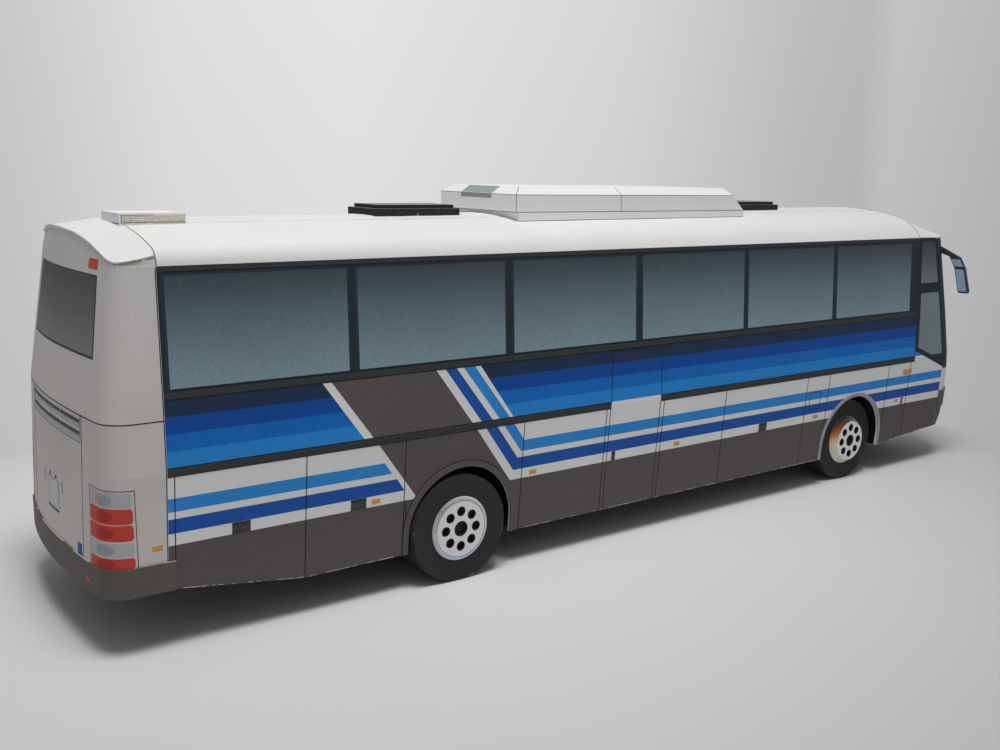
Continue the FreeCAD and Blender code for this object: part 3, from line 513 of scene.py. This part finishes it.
def arch(s, crown, corner, turn, last):
    """Across and drop at arc length s from the middle of an arch.

    A crown arc runs to the angle turn, a corner arc tangent to it on to the angle last, and then
    the arch goes straight on.
    """
    a = np.abs(s)
    on_crown = np.minimum(a / crown, turn)
    on_corner = turn + np.clip((a - crown * turn) / corner, 0, last - turn)
    beyond = np.maximum(a - crown * turn - corner * (last - turn), 0)
    aside = (crown * np.sin(on_crown) + corner * (np.sin(on_corner) - np.sin(turn))
             + beyond * np.cos(last))
    drop = (crown * (1 - np.cos(on_crown)) + corner * (np.cos(turn) - np.cos(on_corner))
            + beyond * np.sin(last))
    return np.sign(s) * aside, drop


def end_plan(way, z):
    """The arch in plan of the rear (way -1) or the front (way 1) at a height, as in the CAD part.

    It gives the side's edge, the reach beyond it, the arch's depth and the arcs of it.
    """
    if way < 0:
        reach, edge = np.interp(z, [14.4, rear_joint, 67.5], [10.9, 10.1, 5.9]), rear_edge
        depth, corner = 5.5, 4.5
    else:
        reach, edge = np.interp(z, [9.4, 12.3], [4.8, 9.8]), side_front(z)
        depth, corner = reach, np.interp(z, [19.5, screen_low], [9.2, 7.0]) * reach / 9.8
    wide = half_width(z)
    crown = (wide ** 2 + depth ** 2 - 2 * wide * corner) / (2 * (depth - corner))
    return edge, reach, depth, crown, corner, np.arctan2(wide - corner, crown - depth)


def end_half(way, z):
    """Half the length of an end's arch, from its middle to the side's edge."""
    _, reach, depth, crown, corner, turn = end_plan(way, z)
    return crown * turn + corner * (math.pi / 2 - turn) + reach - depth


def on_end(way, s, z, proud=0.0):
    """Points on an end at arc length s to the left of its middle, and at a height z.

    The rear's left half is bowed more than its right one, as in the photo: it lies on a circle
    of radius bow wherever that is deeper than the arch, drop = bow - sqrt(bow^2 - y^2).
    """
    edge, reach, _, crown, corner, turn = end_plan(way, z)
    y, drop = arch(s, crown + proud, corner + proud, turn, math.pi / 2)
    if way < 0:
        bow = rear_bow + proud
        drop = np.where(s > 0, np.maximum(drop, bow - np.sqrt(bow ** 2 - y ** 2)), drop)
    return xyz(edge + way * (reach + proud - drop), y, z)


def end_sheet(way, left, right, low, high, rows=2, columns=2, proud=0.0):
    """A grid on an end: s runs from left to right and z from low to high, bends included."""
    bends = [z for z in (waist, rear_joint, band) if low < z < high]
    z = np.unique(np.r_[np.linspace(low, high, rows), bends])[:, None]
    share = np.linspace(0, 1, columns)[None, :]
    s = at(left, z) + (at(right, z) - at(left, z)) * share
    return on_end(way, s, z, proud)


def rear_rim(s):
    """The height of the rear cap's rim, straight between measured points.

    On the right (s below 0) it sinks towards the corner and climbs to the seam; on the left it
    stays high.
    """
    return np.interp(s, [-27.7, -24.9, -23, -21.7, -19.1, -16.2, -13, -11, -8, -4, 0, 4, 8, 12,
                         16, 20, 23, 27.7],
                     [63.0, 62.4, 62.05, 61.95, 62.45, 63.4, 64.3, 64.7, 65.2, 65.65, 65.8, 65.95,
                      65.95, 65.85, 65.6, 65.1, 64.3, 63.0])


def end_wall(way, levels, rim=None):
    """An end wall's card as a grid: a row at each level, and one along the rim.

    Over the eaves the walls lean in by a share of 0.0125 for each millimetre of height.
    """
    share = np.linspace(-1, 1, 221)
    rows = [on_end(way, share * end_half(way, z), z) for z in levels]
    if rim:
        s = share * end_half(way, rim(share * end_half(way, eaves)))
        rows.append(on_end(way, s, rim(s)))
    sheet = np.stack(rows)
    sheet[..., 1] *= 1 - 0.0125 * np.maximum(sheet[..., 2] - eaves, 0)
    return sheet


def mixed(tree, share, base, bare):
    """A mix of two colours: base where the share is 0, bare where it is 1."""
    return wire(tree, "Mix", {0: share, 6: base, 7: bare}, data_type="RGBA")[2]


def wear_and_painted_light(base, bare, amount, axis=2, limit=0.75, kept=-1.0):
    """A colour that gives way to bare card on faces that lie along one axis, and in chips. On the
    hatches' tops the second colour is painted light, not bare card.

    Where a second noise stays under the limit kept, such a face keeps the colour. A limit over 1
    leaves the chips alone.
    """
    def worn(tree, place):
        facing = wire(tree, "NewGeometry", {})["True Normal"]
        parts = wire(tree, "SeparateXYZ", {0: facing})
        flat = maths(tree, "ABSOLUTE", parts[axis])
        cut = maths(tree, "GREATER_THAN", flat, limit)
        coarse = grain(tree, place, 160.0, 4.0)
        rough = maths(tree, "GREATER_THAN", coarse, kept)
        bared = maths(tree, "MULTIPLY", cut, rough)
        chips = grain(tree, place, 420.0, 3.0)
        gone = maths(tree, "GREATER_THAN", chips, 1 - amount)
        share = maths(tree, "MAXIMUM", bared, gone)
        return mixed(tree, share, base, bare)
    return worn


card_step = 0.4
at_rear = partial(end_sheet, -1)
# The rear's card is the body's white card painted darker and faintly pinker as painted shade, slightly
# darker still a little below its middle height.
painted_shade_rear_card = card_stock("painted_shade_rear_card", window_fade(15, 62, [
    (0.02, (212, 206, 204)), (0.4, (208, 203, 201)), (0.98, (212, 209, 207))]), speck=0.03)
for node, wall in (
        ("rear_panel_lower", end_wall(-1, (bumper_top, waist, rear_joint))),
        ("rear_panel_upper", end_wall(-1, (rear_joint, band, 47.3, 59.5, eaves), rear_rim))):
    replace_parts(lay(node + "_bent", [wall], painted_shade_rear_card, lift=0,
                    under=card_step), node)
# Under the rear cap's rim on each side runs a painted shadow line, brown, broken by pale chips of the
# rim's cut edge.
rim_shadow_and_chips = card_stock("rim_shadow_line", wear_and_painted_light((150, 138, 128), (206, 203, 201), 0.46, limit=2.0),
                    speck=0.3)
for name, side in hands.items():
    s = side * np.linspace(16.0, 27.55, 60)
    cut = np.stack([on_end(-1, s, rear_rim(s) - drop, 0.02) for drop in (0.42, 0.1)])
    lay("rim_shadow_" + name, [cut], rim_shadow_and_chips)
rear_glass = card_stock("rear_glass_print", window_fade(47.2, 59.6, [
    (0.02, (135, 135, 134)), (0.5, (112, 112, 113)), (0.98, (86, 87, 88))]), speck=0.08)
for name, ink, lift, low, high, edges in (
        ("rear_window_edge", strip_edge, 1, 46.9, 59.6, ((-16.2, -17.7), (18.2, 19.6))),
        ("rear_window", rear_glass, 2, 47.3, 59.5, ((-15.75, -17.2), (17.9, 19.3)))):
    left, right = (slant((top, high), (foot, low)) for top, foot in edges)
    lay(name, [at_rear(left, right, low, high, columns=61)], ink, lift=lift)
brake_red, dark_red, lens_grey, lens_dark = (
    card_stock(name + "_print", colour, speck=speck, roughness=0.5) for name, colour, speck in (
        ("brake_red", (205, 76, 66), 0.08), ("dark_red", (174, 62, 55), 0.08),
        ("lens_grey", (184, 186, 188), 0.06), ("lens_dark", (158, 162, 168), 0.06)))
louvre_tones = [(0.02, (90, 90, 92)), (0.12, (205, 205, 206)), (0.4, (168, 172, 178)),
                (0.62, (92, 98, 112)), (0.9, (70, 72, 78))]
line_top = 37.8
joint_half = end_half(-1, line_top)
rear_lines = [at_rear(-joint_half, joint_half, 37.76, 37.94, columns=91),
              at_rear(-14.65, 14.65, 33.42, 33.52, columns=31)]
rear_lines += [at_rear(side * s - hairline / 2, side * s + hairline / 2, low, line_top)
               for side in (-1, 1) for s, low in ((15.15, bumper_top), (14.6, 33.5))]
rear_lines += [at_rear(lambda z: side * (end_half(-1, z) - 0.17),
                       lambda z: side * (end_half(-1, z) - 0.01), bumper_top, 61.1, rows=9)
               for side in (-1, 1)]
lay("rear_lines", rear_lines, inks["line"], lift=2)
for groove, low, high in (("upper", 35.85, 37.1), ("lower", 33.95, 35.2)):
    lay("louvre_" + groove, [
        at_rear(left, left + 9.4, low, high, columns=11) for left in (-14.3, -4.7, 4.9)],
        card_stock("louvre_%s_print" % groove, window_fade(low, high, louvre_tones)))
lay("rear_side_markers", [at_rear(s - 0.85, s + 0.85, 17.05, 17.95) for s in (-30.8, 30.8)],
    amber)
plate_card = card_stock("plate_card", (206, 208, 209))
patch_blue = card_stock("patch_blue_print", (58, 104, 172), speck=0.08)
# The plate's dark edge is a thin outline, widened along the bottom as a painted shadow under the plate.
for name, span, columns, ink, lift in (
        ("rear_marker", (-16.1, -12.3, 60.4, 62.0), 15, brake_red, 2),
        ("plate_edge", (-3.3, 3.2, 18.95, 24.3), 7, inks["line"], 1),
        ("plate_blank", (-3.1, 3.05, 19.35, 24.2), 7, plate_card, 2),
        ("tow_patch", (-14.6, -12.6, bumper_top, 16.9), 3, patch_blue, 1)):
    lay(name, [at_rear(*span, columns=columns)], ink, lift=lift)
lay("plate_marks", [at_rear(s - half, s + half, low, high) for s, half, low, high in (
    (-5.2, 0.17, 22.8, 24.8), (5.6, 0.17, 22.8, 24.8), (-1.7, 0.45, 24.6, 25.1),
    (1.7, 0.45, 24.6, 25.1))], rubber)


def lens_sheet(way, side, centre, height, middle, width, corner=0.45):
    """A lens with round corners: at each column the half height sinks along the corner's arc."""
    across = np.linspace(-1, 1, 33)[None, :] * width / 2
    inside = np.maximum(np.abs(across) - (width / 2 - corner), 0)
    half = height / 2 - corner + np.sqrt(np.maximum(corner ** 2 - inside ** 2, 1e-6))
    up = np.linspace(-1, 1, 3)[:, None]
    return on_end(way, side * centre + across, middle + up * half)


def dot_sheet(way, side, centre, middle, wide, high):
    """An oval print: rings of points from a small one at its middle out to its rim."""
    ring = np.linspace(0.02, 1, 4)[:, None]
    turn = np.linspace(0, 2 * math.pi, 33)[None, :-1]
    return on_end(way, side * centre + wide * ring * np.cos(turn),
                  middle + high * ring * np.sin(turn))


lamps = {"grey": ((26.15, 2.35), (18.1, 2.3)), "red": ((23.55, 2.5), (20.85, 2.6), (15.85, 1.85))}
for name, side in hands.items():
    cluster = 23.1 if side < 0 else 24.6
    inner, outer, half = side * (cluster - 4.95), side * (cluster + 4.6), side * 0.06
    lay("lamp_frame_" + name, [
        at_rear(inner - half, outer + half, 27.59, 27.71, columns=25),
        at_rear(inner - half, inner + half, bumper_top, 27.6),
        at_rear(outer - half, outer + half, bumper_top, 27.6)], inks["line"])
    for tone, ink, dark in (("grey", lens_grey, lens_dark), ("red", brake_red, dark_red)):
        lay("lamp_%s_%s" % (tone, name), [
            lens_sheet(-1, side, cluster - 0.25, high, middle, 8.9)
            for middle, high in lamps[tone]], ink)
        lay("reflector_%s_%s" % (tone, name), [
            dot_sheet(-1, side, cluster - 0.7, middle, 1.85, 0.9) for middle, _ in lamps[tone]],
            dark, lift=2, ring=True)
    lay("bulb_" + name, [dot_sheet(-1, side, cluster - 1.7, lamps["grey"][0][0], 0.5, 0.45)],
        amber, lift=3, ring=True)
    marker = at_rear(side * 17.1 - 0.7, side * 17.1 + 0.7, 11.6, 12.3, columns=3,
                     proud=bumper_proud)
    lay("bumper_marker_" + name, [marker], brake_red, lift=2)

# Front end, not seen in the photograph: a two-part windscreen under a blank blind, wipers, head
# lamps, a grille and a blank plate, printed as on the rear.
lamp_out, lamp_up = 15.3, 22.3
at_front = partial(end_sheet, 1)


def front_rim(s):
    """The height of the front cap's rim over the windscreen, which bulges a little."""
    return eaves + 0.8 * (1 - (s / end_half(1, eaves)) ** 2)


screen_levels = np.unique(np.r_[np.linspace(screen_low, 61.2, 7), waist, band])
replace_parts(lay("windscreen_bent", [end_wall(1, screen_levels, front_rim)], white_card, lift=0,
                under=card_step), "windscreen_panel")
lay("screen_band", [end_wall(1, np.r_[screen_low + 0.05, screen_levels[1:]])], rubber)
screen_glass = card_stock("screen_glass_print", window_fade(28, 54, [
    (0.02, (132, 152, 160)), (0.6, (108, 124, 132)), (0.98, (76, 86, 92))]), speck=0.1)
lay("screen_panes", [at_front(s - 11.9, s + 11.9, 27.6, 54.4, rows=4, columns=41)
                     for s in (-12.4, 12.4)], screen_glass, lift=2)
lay("blind", [at_front(-13.0, 13.0, 55.6, 60.2, columns=31)],
    card_stock("blind_print", (86, 92, 94), speck=0.06), lift=2)
blades = [at_front(left, left + 10.5, 29.35, 29.65, columns=13) for left in (-13.6, 2.6)]
arms = [at_front(slant((foot - 9.0, 29.2), (foot, 28.2)),
                 slant((foot - 9.0, 29.7), (foot + 0.5, 28.2)), 28.2, 29.2, columns=3)
        for foot in (-2.0, 14.0)]
lay("wipers", blades + arms, inks["line"], lift=3)
lay("nose_slats", [at_front(-9.0, 9.0, z, z + 0.35, columns=21) for z in (20.6, 21.5, 22.4)],
    rubber)
for name, side in hands.items():
    lay("head_lamp_" + name, [lens_sheet(1, side, lamp_out, 4.0, lamp_up, 8.6, 0.8)], lens_dark)
    lay("head_reflectors_" + name, [
        dot_sheet(1, side, lamp_out + step, lamp_up, 1.6, 1.6) for step in (-2.1, 2.0)],
        lens_grey, lift=2, ring=True)
    lay("front_indicator_" + name, [lens_sheet(1, side, 21.4, 4.0, lamp_up, 2.8, 0.5)], amber)
    lay("fog_lamp_" + name, [dot_sheet(1, side, 15.5, 13.4, 1.0, 1.0)], lens_grey, ring=True)
lay("front_plate", [at_front(-5.4, 5.4, 15.6, 18.4, columns=13, proud=bumper_proud)], plate_card,
    lift=2)
lay("front_plate_edge", [at_front(-5.55, 5.55, 15.45, 18.55, columns=13, proud=bumper_proud)],
    inks["line"])

# Bumpers and arch lips: strips of card printed umber on their faces, white where they are cut,
# glued round the ends and the wheel openings.
bumper_card = card_stock("bumper_card", wear_and_painted_light((100, 96, 93), (196, 194, 190), 0.22, kept=0.5),
                         speck=0.13, roughness=0.6)
cover(["rear_bumper", "front_bumper"], bumper_card)
bumper_wrap = 1.6
around = np.linspace(-1, 1, 241)
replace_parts(lay("rear_bumper_bent", [np.stack([
    on_end(-1, around * (end_half(-1, z) + bumper_wrap), z, bumper_proud)
    for z in (10.0, 12.3, bumper_top)])], bumper_card, lift=0, under=bumper_proud - 0.02), "rear_bumper")
for end, colour, speck, roughness in (
        ("rear", (99, 94, 92), 0.14, 0.6), ("front", (158, 162, 168), 0.08, 0.45)):
    cover(["arch_lip_%s_%s" % (end, name) for name in hands],
          card_stock(end + "_lip_card", colour, speck=speck, roughness=roughness))

lip_turn = np.linspace(-0.02, math.pi + 0.02, 61)
lip_radius = np.array([12.8, 12.95])[:, None]
lip_x = rear_opening + lip_radius * np.cos(lip_turn)
lip_z = axle_height + lip_radius * np.sin(lip_turn)
foot_worn = card_stock("foot_wear", wear_and_painted_light((96, 91, 90), (190, 190, 188), 0.5, limit=2.0),
                       speck=0.1)
for name, hand in hands.items():
    lay("lip_line_" + name, [xyz(lip_x, hand * half_width(lip_z), lip_z)], inks["line"], lift=2)
    for number, span in enumerate(((-105.4, -64.5), (-37.6, 57.0), (83.0, 104.5))):
        x = np.linspace(*span, 30)
        z = foot_height(x) + np.array([0.02, 0.16])[:, None]
        lay("foot_wear_%s_%d" % (name, number), [xyz(x, hand * half_width(z), z)], foot_worn,
            lift=2)

# Roof: the seams of its three sheets are fine dark lines, and a faint score runs along it. Each
# of its two arches has a form, its radii as shares, and rises over the eaves.
rear_arch, front_arch = ((1.5, 0.5), 6.0), ((1.66, 1.7), 6.9)
cap_proud = 0.25


def roof_arch(form, rise):
    """An arch of the roof: its radii, the angle where they meet and the foot's angle."""
    crown = form[0] * (eaves_half ** 2 + rise ** 2) / (2 * rise)
    corner = form[1] * rise
    to_eaves, between = math.hypot(eaves_half, crown - rise), crown - corner
    apex = math.acos((to_eaves ** 2 + between ** 2 - corner ** 2) / (2 * to_eaves * between))
    turn = math.atan2(eaves_half, crown - rise) - apex
    middle_up = rise - crown + between * math.cos(turn)
    return crown, corner, turn, math.acos(-middle_up / corner)


def roof_sheet(left, right, first, last, rows=2, columns=121):
    """A grid on the main roof, whose rear and front arches are joined by straight lines.

    Across it u runs from left to right: 0 on the middle, 1 where crown and shoulder meet and 2
    at the eaves. Along it x runs from first to last.
    """
    x = np.linspace(first, last, rows)[:, None]
    share = (x - rear_edge) / (seam - rear_edge)
    u = at(left, share) + (at(right, share) - at(left, share)) * np.linspace(0, 1, columns)
    ends = []
    for form, rise in (rear_arch, front_arch):
        crown, corner, turn, foot = roof_arch(form, rise)
        s = np.sign(u) * (crown * turn * np.minimum(np.abs(u), 1)
                          + corner * (foot - turn) * np.maximum(np.abs(u) - 1, 0))
        y, drop = arch(s, crown, corner, turn, foot)
        ends.append(np.stack([y, eaves + rise - drop]))
    y, z = ends[0] + (ends[1] - ends[0]) * share
    return xyz(x, y, z)


def arch_height(form, rise, aside):
    """How high a roof arch stands over the eaves at a distance from the middle."""
    crown, corner, turn, _ = roof_arch(form, rise)
    aside, low = np.abs(aside), rise - crown
    middle, up = (crown - corner) * math.sin(turn), low + (crown - corner) * math.cos(turn)
    return np.where(aside < crown * math.sin(turn), low + np.sqrt(crown ** 2 - aside ** 2),
                    up + np.sqrt(np.maximum(corner ** 2 - (aside - middle) ** 2, 0)))


def cap_sheet(way, arch_x, form, rise, rim, knee, widest):
    """A roof cap as a grid: straight lines from a roof arch down to the rim on an end wall.

    Lines within the knee run along the coach; beyond it they close up towards the seam's end.
    The rim stands proud of the wall.
    """
    half = end_half(way, eaves)
    s = np.linspace(-half, half, 221)
    foot = end_wall(way, (), rim)[0]
    foot[:, :2] += (on_end(way, s, rim(s), cap_proud) - on_end(way, s, rim(s)))[:, :2]
    aside = np.sign(s) * np.interp(np.abs(s), [0, knee, half], [0, knee, widest])
    top = xyz(arch_x, aside, eaves + arch_height(form, rise, aside))
    return top + (foot - top) * np.linspace(0, 1, 15)[:, None, None]


for node, cap in (
        ("roof_cap_rear", cap_sheet(-1, rear_edge, *rear_arch, rear_rim, 19.3, 23.27)),
        ("roof_cap_front", cap_sheet(1, seam, *front_arch, front_rim, 19.0, 23.79))):
    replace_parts(lay(node + "_bent", [cap], white_card, lift=0,
                    under=card_step), node)
# The seams' dark ink also draws the painted shadow line at the roof unit's foot.
seam_and_shadow_ink = card_stock("seam_and_shadow_print", (118, 114, 112), speck=0.1)
faint_ink = card_stock("score_print", (188, 188, 190), speck=0.04)
lay("roof_seams", [roof_sheet(-2, 2, rear_edge + 0.02, rear_edge + 0.2),
                   roof_sheet(-2, 2, seam - 0.2, seam - 0.02)], seam_and_shadow_ink)
lay("roof_scores", [roof_sheet(
    lambda share: side * (0.389 + 0.121 * share), lambda share: side * (0.395 + 0.122 * share),
    rear_edge + 0.3, seam - 0.3, rows=21, columns=2) for side in (-1, 1)],
    faint_ink)

# Roof unit: a folded white box with hipped edges on a flat card, its folds and joints drawn as
# fine lines, a painted shadow line along its foot on the roof, and a grey grille on the rear hip.
unit_rear, unit_front, unit_side = -31.35, 36.25, 13.35
unit_foot, unit_eaves, unit_top, hip = 68.29, 71.84, 73.34, 2.3
slope_end, unit_joint = unit_front - 4.2, -3.1
# The unit's card is the body's white card painted brighter as painted light; the vent's cover shares it.
unit_card = card_stock("unit_card", (241, 239, 241), speck=0.02, cloud=0.02)
cover(["roof_unit_base", "roof_unit_housing"], unit_card)


def plate_sheet(corners):
    """A flat grid of two rows and two columns through four corners, row by row."""
    return np.array(corners, float).reshape(2, 2, 3)


def box_face(x, y, z):
    """A flat sheet on a box's face: two of x, y and z are spans and one is a single number."""
    x, y, z = (np.atleast_1d(span) for span in (x, y, z))
    return plate_sheet([(a, b, c) for c in z for b in y for a in x])


unit_span, unit_foot_line = (-unit_side, unit_side), (unit_foot, unit_foot + 0.14)
unit_height, unit_eaves_line = (unit_foot, unit_eaves), (unit_eaves - 0.12, unit_eaves)
unit_lines = [box_face(unit_rear, unit_span, unit_foot_line),
              box_face(unit_rear, unit_span, unit_eaves_line)]
for side in (-1, 1):
    outer, inner = side * unit_side, side * (unit_side - hip)
    unit_lines += [
        box_face((unit_rear, unit_front - 0.17), outer, unit_foot_line),
        # Along the base's foot, where it stands on the roof, a painted shadow line.
        plate_sheet([(x, outer, z + step) for step in (0, 0.12)
                     for x, z in ((unit_rear + 1, 66.56), (unit_front, 66.85))]),
        box_face((unit_rear, slope_end), outer, unit_eaves_line),
        box_face((unit_joint, unit_joint + 0.15), outer, unit_height),
        box_face((unit_rear, unit_rear + 0.16), outer, unit_height)]
    unit_lines += [
        plate_sheet([(x + step, y, z) for x, y, z in (
            (low_x, outer, unit_eaves), (high_x, inner, unit_top)) for step in (0, width)])
        for low_x, high_x, width in (
            (unit_rear, unit_rear + hip, 0.2), (unit_joint, unit_joint, 0.15))]
lay("unit_lines", unit_lines, seam_and_shadow_ink)
grille_span = (-5.1, 5.7)
lay("unit_grille", [
    plate_sheet([(unit_rear + step, y, z) for step, z in (
        (0.1, unit_eaves + 0.07), (2.2, unit_top - 0.07)) for y in grille_span]),
    box_face(unit_rear, grille_span, (unit_eaves - 0.95, unit_eaves - 0.14))],
    card_stock("grille_print", (150, 158, 158), speck=0.1, roughness=0.5))

# Roof hatches and vent: hatches are two thick black cards with rough cut edges, their tops
# painted pale grey-green as painted light; the vent is a stack of plies under a folded white cover.
hatch_black_and_painted_light = card_stock("hatch_card", wear_and_painted_light((55, 51, 55), (146, 149, 138), 0.3),
                         speck=0.35, roughness=0.8, fibre=4.0)
cover(["hatch_%s_%s" % (end, part) for end in ("rear", "front") for part in ("base", "lid")],
      hatch_black_and_painted_light)


def ply_edges(tree, place):
    """Layered cut edges: bands on Object Z, shaken a little by noise."""
    shake = grain(tree, place, 300.0, 2.0)
    height = wire(tree, "SeparateXYZ", {0: place})["Z"]
    moved = maths(tree, "MULTIPLY_ADD", shake, 0.0004, height)
    turns = maths(tree, "MULTIPLY", moved, 2 * math.pi / 0.00034)
    wave = maths(tree, "SINE", turns)
    share = mapped(tree, wave, -0.95, -0.2)
    plies = mixed(tree, share, (190, 186, 168), (222, 220, 204))
    return wear_and_painted_light(plies, white, 0.0, axis=0)(tree, place)


vent_rear, vent_front, vent_span, vent_top = -107.9, -97.1, (-9.9, -0.9), 68.62
ply_depth, cover_depth = 1.9, 0.3
vent_right, vent_stand, ply_top = vent_span[0], vent_rear + cover_depth, vent_top - cover_depth
ply_card = card_stock("ply_card", ply_edges, speck=0.22, fibre=3.0)
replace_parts(lay("vent_stack", [box_face((vent_stand, vent_front), vent_span, ply_top)], ply_card,
                lift=0, under=ply_depth), "vent_plies")
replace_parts(lay("vent_folded", [
    box_face((vent_rear, vent_front), vent_span, vent_top),
    box_face(vent_rear, vent_span, (66.5, ply_top))], unit_card, lift=0, under=cover_depth), "vent_cover")
# Painted shadow lines on the vent: in the gap beside the cover's rear flap, under the cover's edge, and
# along the foot.
lay("vent_shadow_lines", [
    box_face((vent_stand, vent_stand + 0.12), vent_right, (66.9, ply_top)),
    box_face((vent_stand, vent_rear + 5.5), vent_right, (ply_top - 0.08, ply_top)),
    box_face((vent_rear + 0.6, vent_front), vent_right, (67.12, 67.22)),
    box_face(vent_rear, vent_span, (66.86, 67.0))],
    card_stock("vent_shadow_print", (96, 90, 86), speck=0.2))

# Underside: a dark floor card, black wheel wells glued over it, and rolled paper tubes in which
# the wooden rods of the wheels turn.
well_black = card_stock("well_card", (34, 33, 33), speck=0.15, roughness=0.85)
cover(["floor_panel"] + ["wheel_well_%s_%s" % (end, name) for end in ("rear", "front")
                         for name in hands], well_black)
cover(["axle_tube_rear", "axle_tube_front"],
      card_stock("tube_paper", (168, 150, 124), speck=0.1, cloud=0.06))
cover(["axle_rear", "axle_front"],
      card_stock("axle_wood", (196, 160, 112), speck=0.1, cloud=0.1))

# Wheels: tyres are discs of laminated card, coloured dark and worn pale along their edges. The
# discs are white card with punched holes, and silver print round them.


def turned_sheet(axle, hand, profile):
    """A ring turned about an axle: each profile point is a radius and a distance outwards."""
    radius, out = np.array(profile, float).T[:, :, None]
    turn = np.linspace(0, 2 * math.pi, 97)[None, :-1]
    return xyz(axle + radius * np.cos(turn), hand * out, axle_height + radius * np.sin(turn))


def on_wheel(tree, place, axle):
    """The angle round an axle, in turns from -0.5 to 0.5, and the distance from it."""
    moved = wire(tree, "VectorMath", {0: place, 1: (axle * mm, 0, axle_height * mm)},
                 operation="SUBTRACT")[0]
    parts = wire(tree, "SeparateXYZ", {0: moved})
    angle = maths(tree, "ARCTAN2", parts["Z"], parts["X"])
    flat = wire(tree, "VectorMath", {0: moved, 1: (1.0, 0.0, 1.0)}, operation="MULTIPLY")[0]
    radius = wire(tree, "VectorMath", {0: flat}, operation="LENGTH")["Value"]
    return maths(tree, "DIVIDE", angle, 2 * math.pi), radius


def pierced(axle, face, tree, place):
    """Disc card: white, and dark wherever it lies deeper than the face within the hole ring."""
    _, radius = on_wheel(tree, place, axle)
    depth = maths(tree, "ABSOLUTE", wire(tree, "SeparateXYZ", {0: place})["Y"])
    sunk = maths(tree, "LESS_THAN", depth, (face - 0.03) * mm)
    within = maths(tree, "LESS_THAN", radius, 4.9 * mm)
    share = maths(tree, "MULTIPLY", sunk, within)
    return mixed(tree, share, (236, 236, 238), (72, 62, 60))


def edge_wear(tree, place):
    """Dark card with its edge rubbed to white in patches: noise above a threshold."""
    patches = grain(tree, place, 520.0, 4.0)
    share = mapped(tree, patches, 0.6, 0.66)
    return mixed(tree, share, (56, 56, 55), (150, 150, 150))


def chrome_print(axle, tones, tree, place):
    """Printed chrome: tones that change round the axle, from its rear by foot and front to top."""
    angle, _ = on_wheel(tree, place, axle)
    return graded(tree, maths(tree, "ADD", angle, 0.5), tones)


tyre_card = card_stock("tyre_card", (57, 56, 55), speck=0.1, cloud=0.06, roughness=0.65)
worn = card_stock("tyre_edge_wear", edge_wear, speck=0.1)
chromes = {
    "rear": [(0.01, (200, 203, 210)), (0.12, (206, 213, 230)), (0.3, (196, 204, 226)),
             (0.5, (222, 223, 226)), (0.68, (205, 205, 204)), (0.8, (168, 168, 164)),
             (0.88, (142, 142, 138)), (0.99, (190, 191, 193))],
    "front": [(0.01, (236, 222, 186)), (0.1, (240, 234, 214)), (0.2, (214, 212, 206)),
              (0.5, (214, 214, 216)), (0.7, (150, 140, 128)), (0.8, (92, 78, 66)),
              (0.88, (134, 84, 50)), (0.94, (206, 128, 72)), (0.99, (232, 200, 156))]}
for end, axle, face, proud, top in (
        ("rear", rear_axle, 25.4, 0.4, 5.9), ("front", front_axle, 22.6, 1.7, 5.0)):
    body, disc_face = end + "_wheels", face + proud
    disc_card = card_stock("disc_%s_card" % end, partial(pierced, axle, disc_face), speck=0.03,
                           roughness=0.5)
    cover(["wheel_disc_%s_%s" % (end, name) for name in hands], disc_card)
    cover(["tyre_%s_%s" % (end, name) for name in hands], tyre_card)
    silver = card_stock("chrome_%s_print" % end, partial(chrome_print, axle, chromes[end]),
                        speck=0.12, roughness=0.4)
    rings = [("tyre_wear_" + end, (10.18, face), (10.29, face), worn, "tyre_card"),
             ("rim_silver_" + end, (top + 0.02, disc_face - 0.02), (6.18, face + 0.03), silver,
              "wheel_card")]
    if end == "rear":
        rings += [("disc_line_rear", (5.42, disc_face), (5.52, disc_face), inks["line"],
                   "wheel_card"),
                  ("rim_hatching", (5.62, disc_face), (5.86, disc_face), silver, "wheel_card")]
    for name, hand in hands.items():
        for ring, inner, outer, ink, slot in rings:
            lay("%s_%s" % (ring, name), [turned_sheet(axle, hand, (inner, outer))], ink,
                body=body, ring=True)

# Mirrors: flat cut-outs of thick dark card on arms glued to the front corners, with two panes of
# pale print on the face towards the driver.
mirror_dark = card_stock("mirror_card", (58, 62, 72), speck=0.08, roughness=0.55)
cover(["mirror_%s_%s" % (part, name) for part in ("arm", "head") for name in hands], mirror_dark)
mirror_glass = card_stock("mirror_glass_print", (150, 170, 196), speck=0.05, roughness=0.4)
mirror_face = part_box("mirror_head_right")[0].x / mm
mirror_panes = (((26.7, 53.75), (29.2, 53.75), (25.4, 55.6), (28.0, 55.6)),
                ((28.4, 47.3), (30.7, 47.3), (26.95, 53.0), (29.3, 53.0)))
for name, hand in hands.items():
    lay("mirror_glass_" + name, [
        plate_sheet([(mirror_face, hand * y, z) for y, z in corners])
        for corners in mirror_panes], mirror_glass)
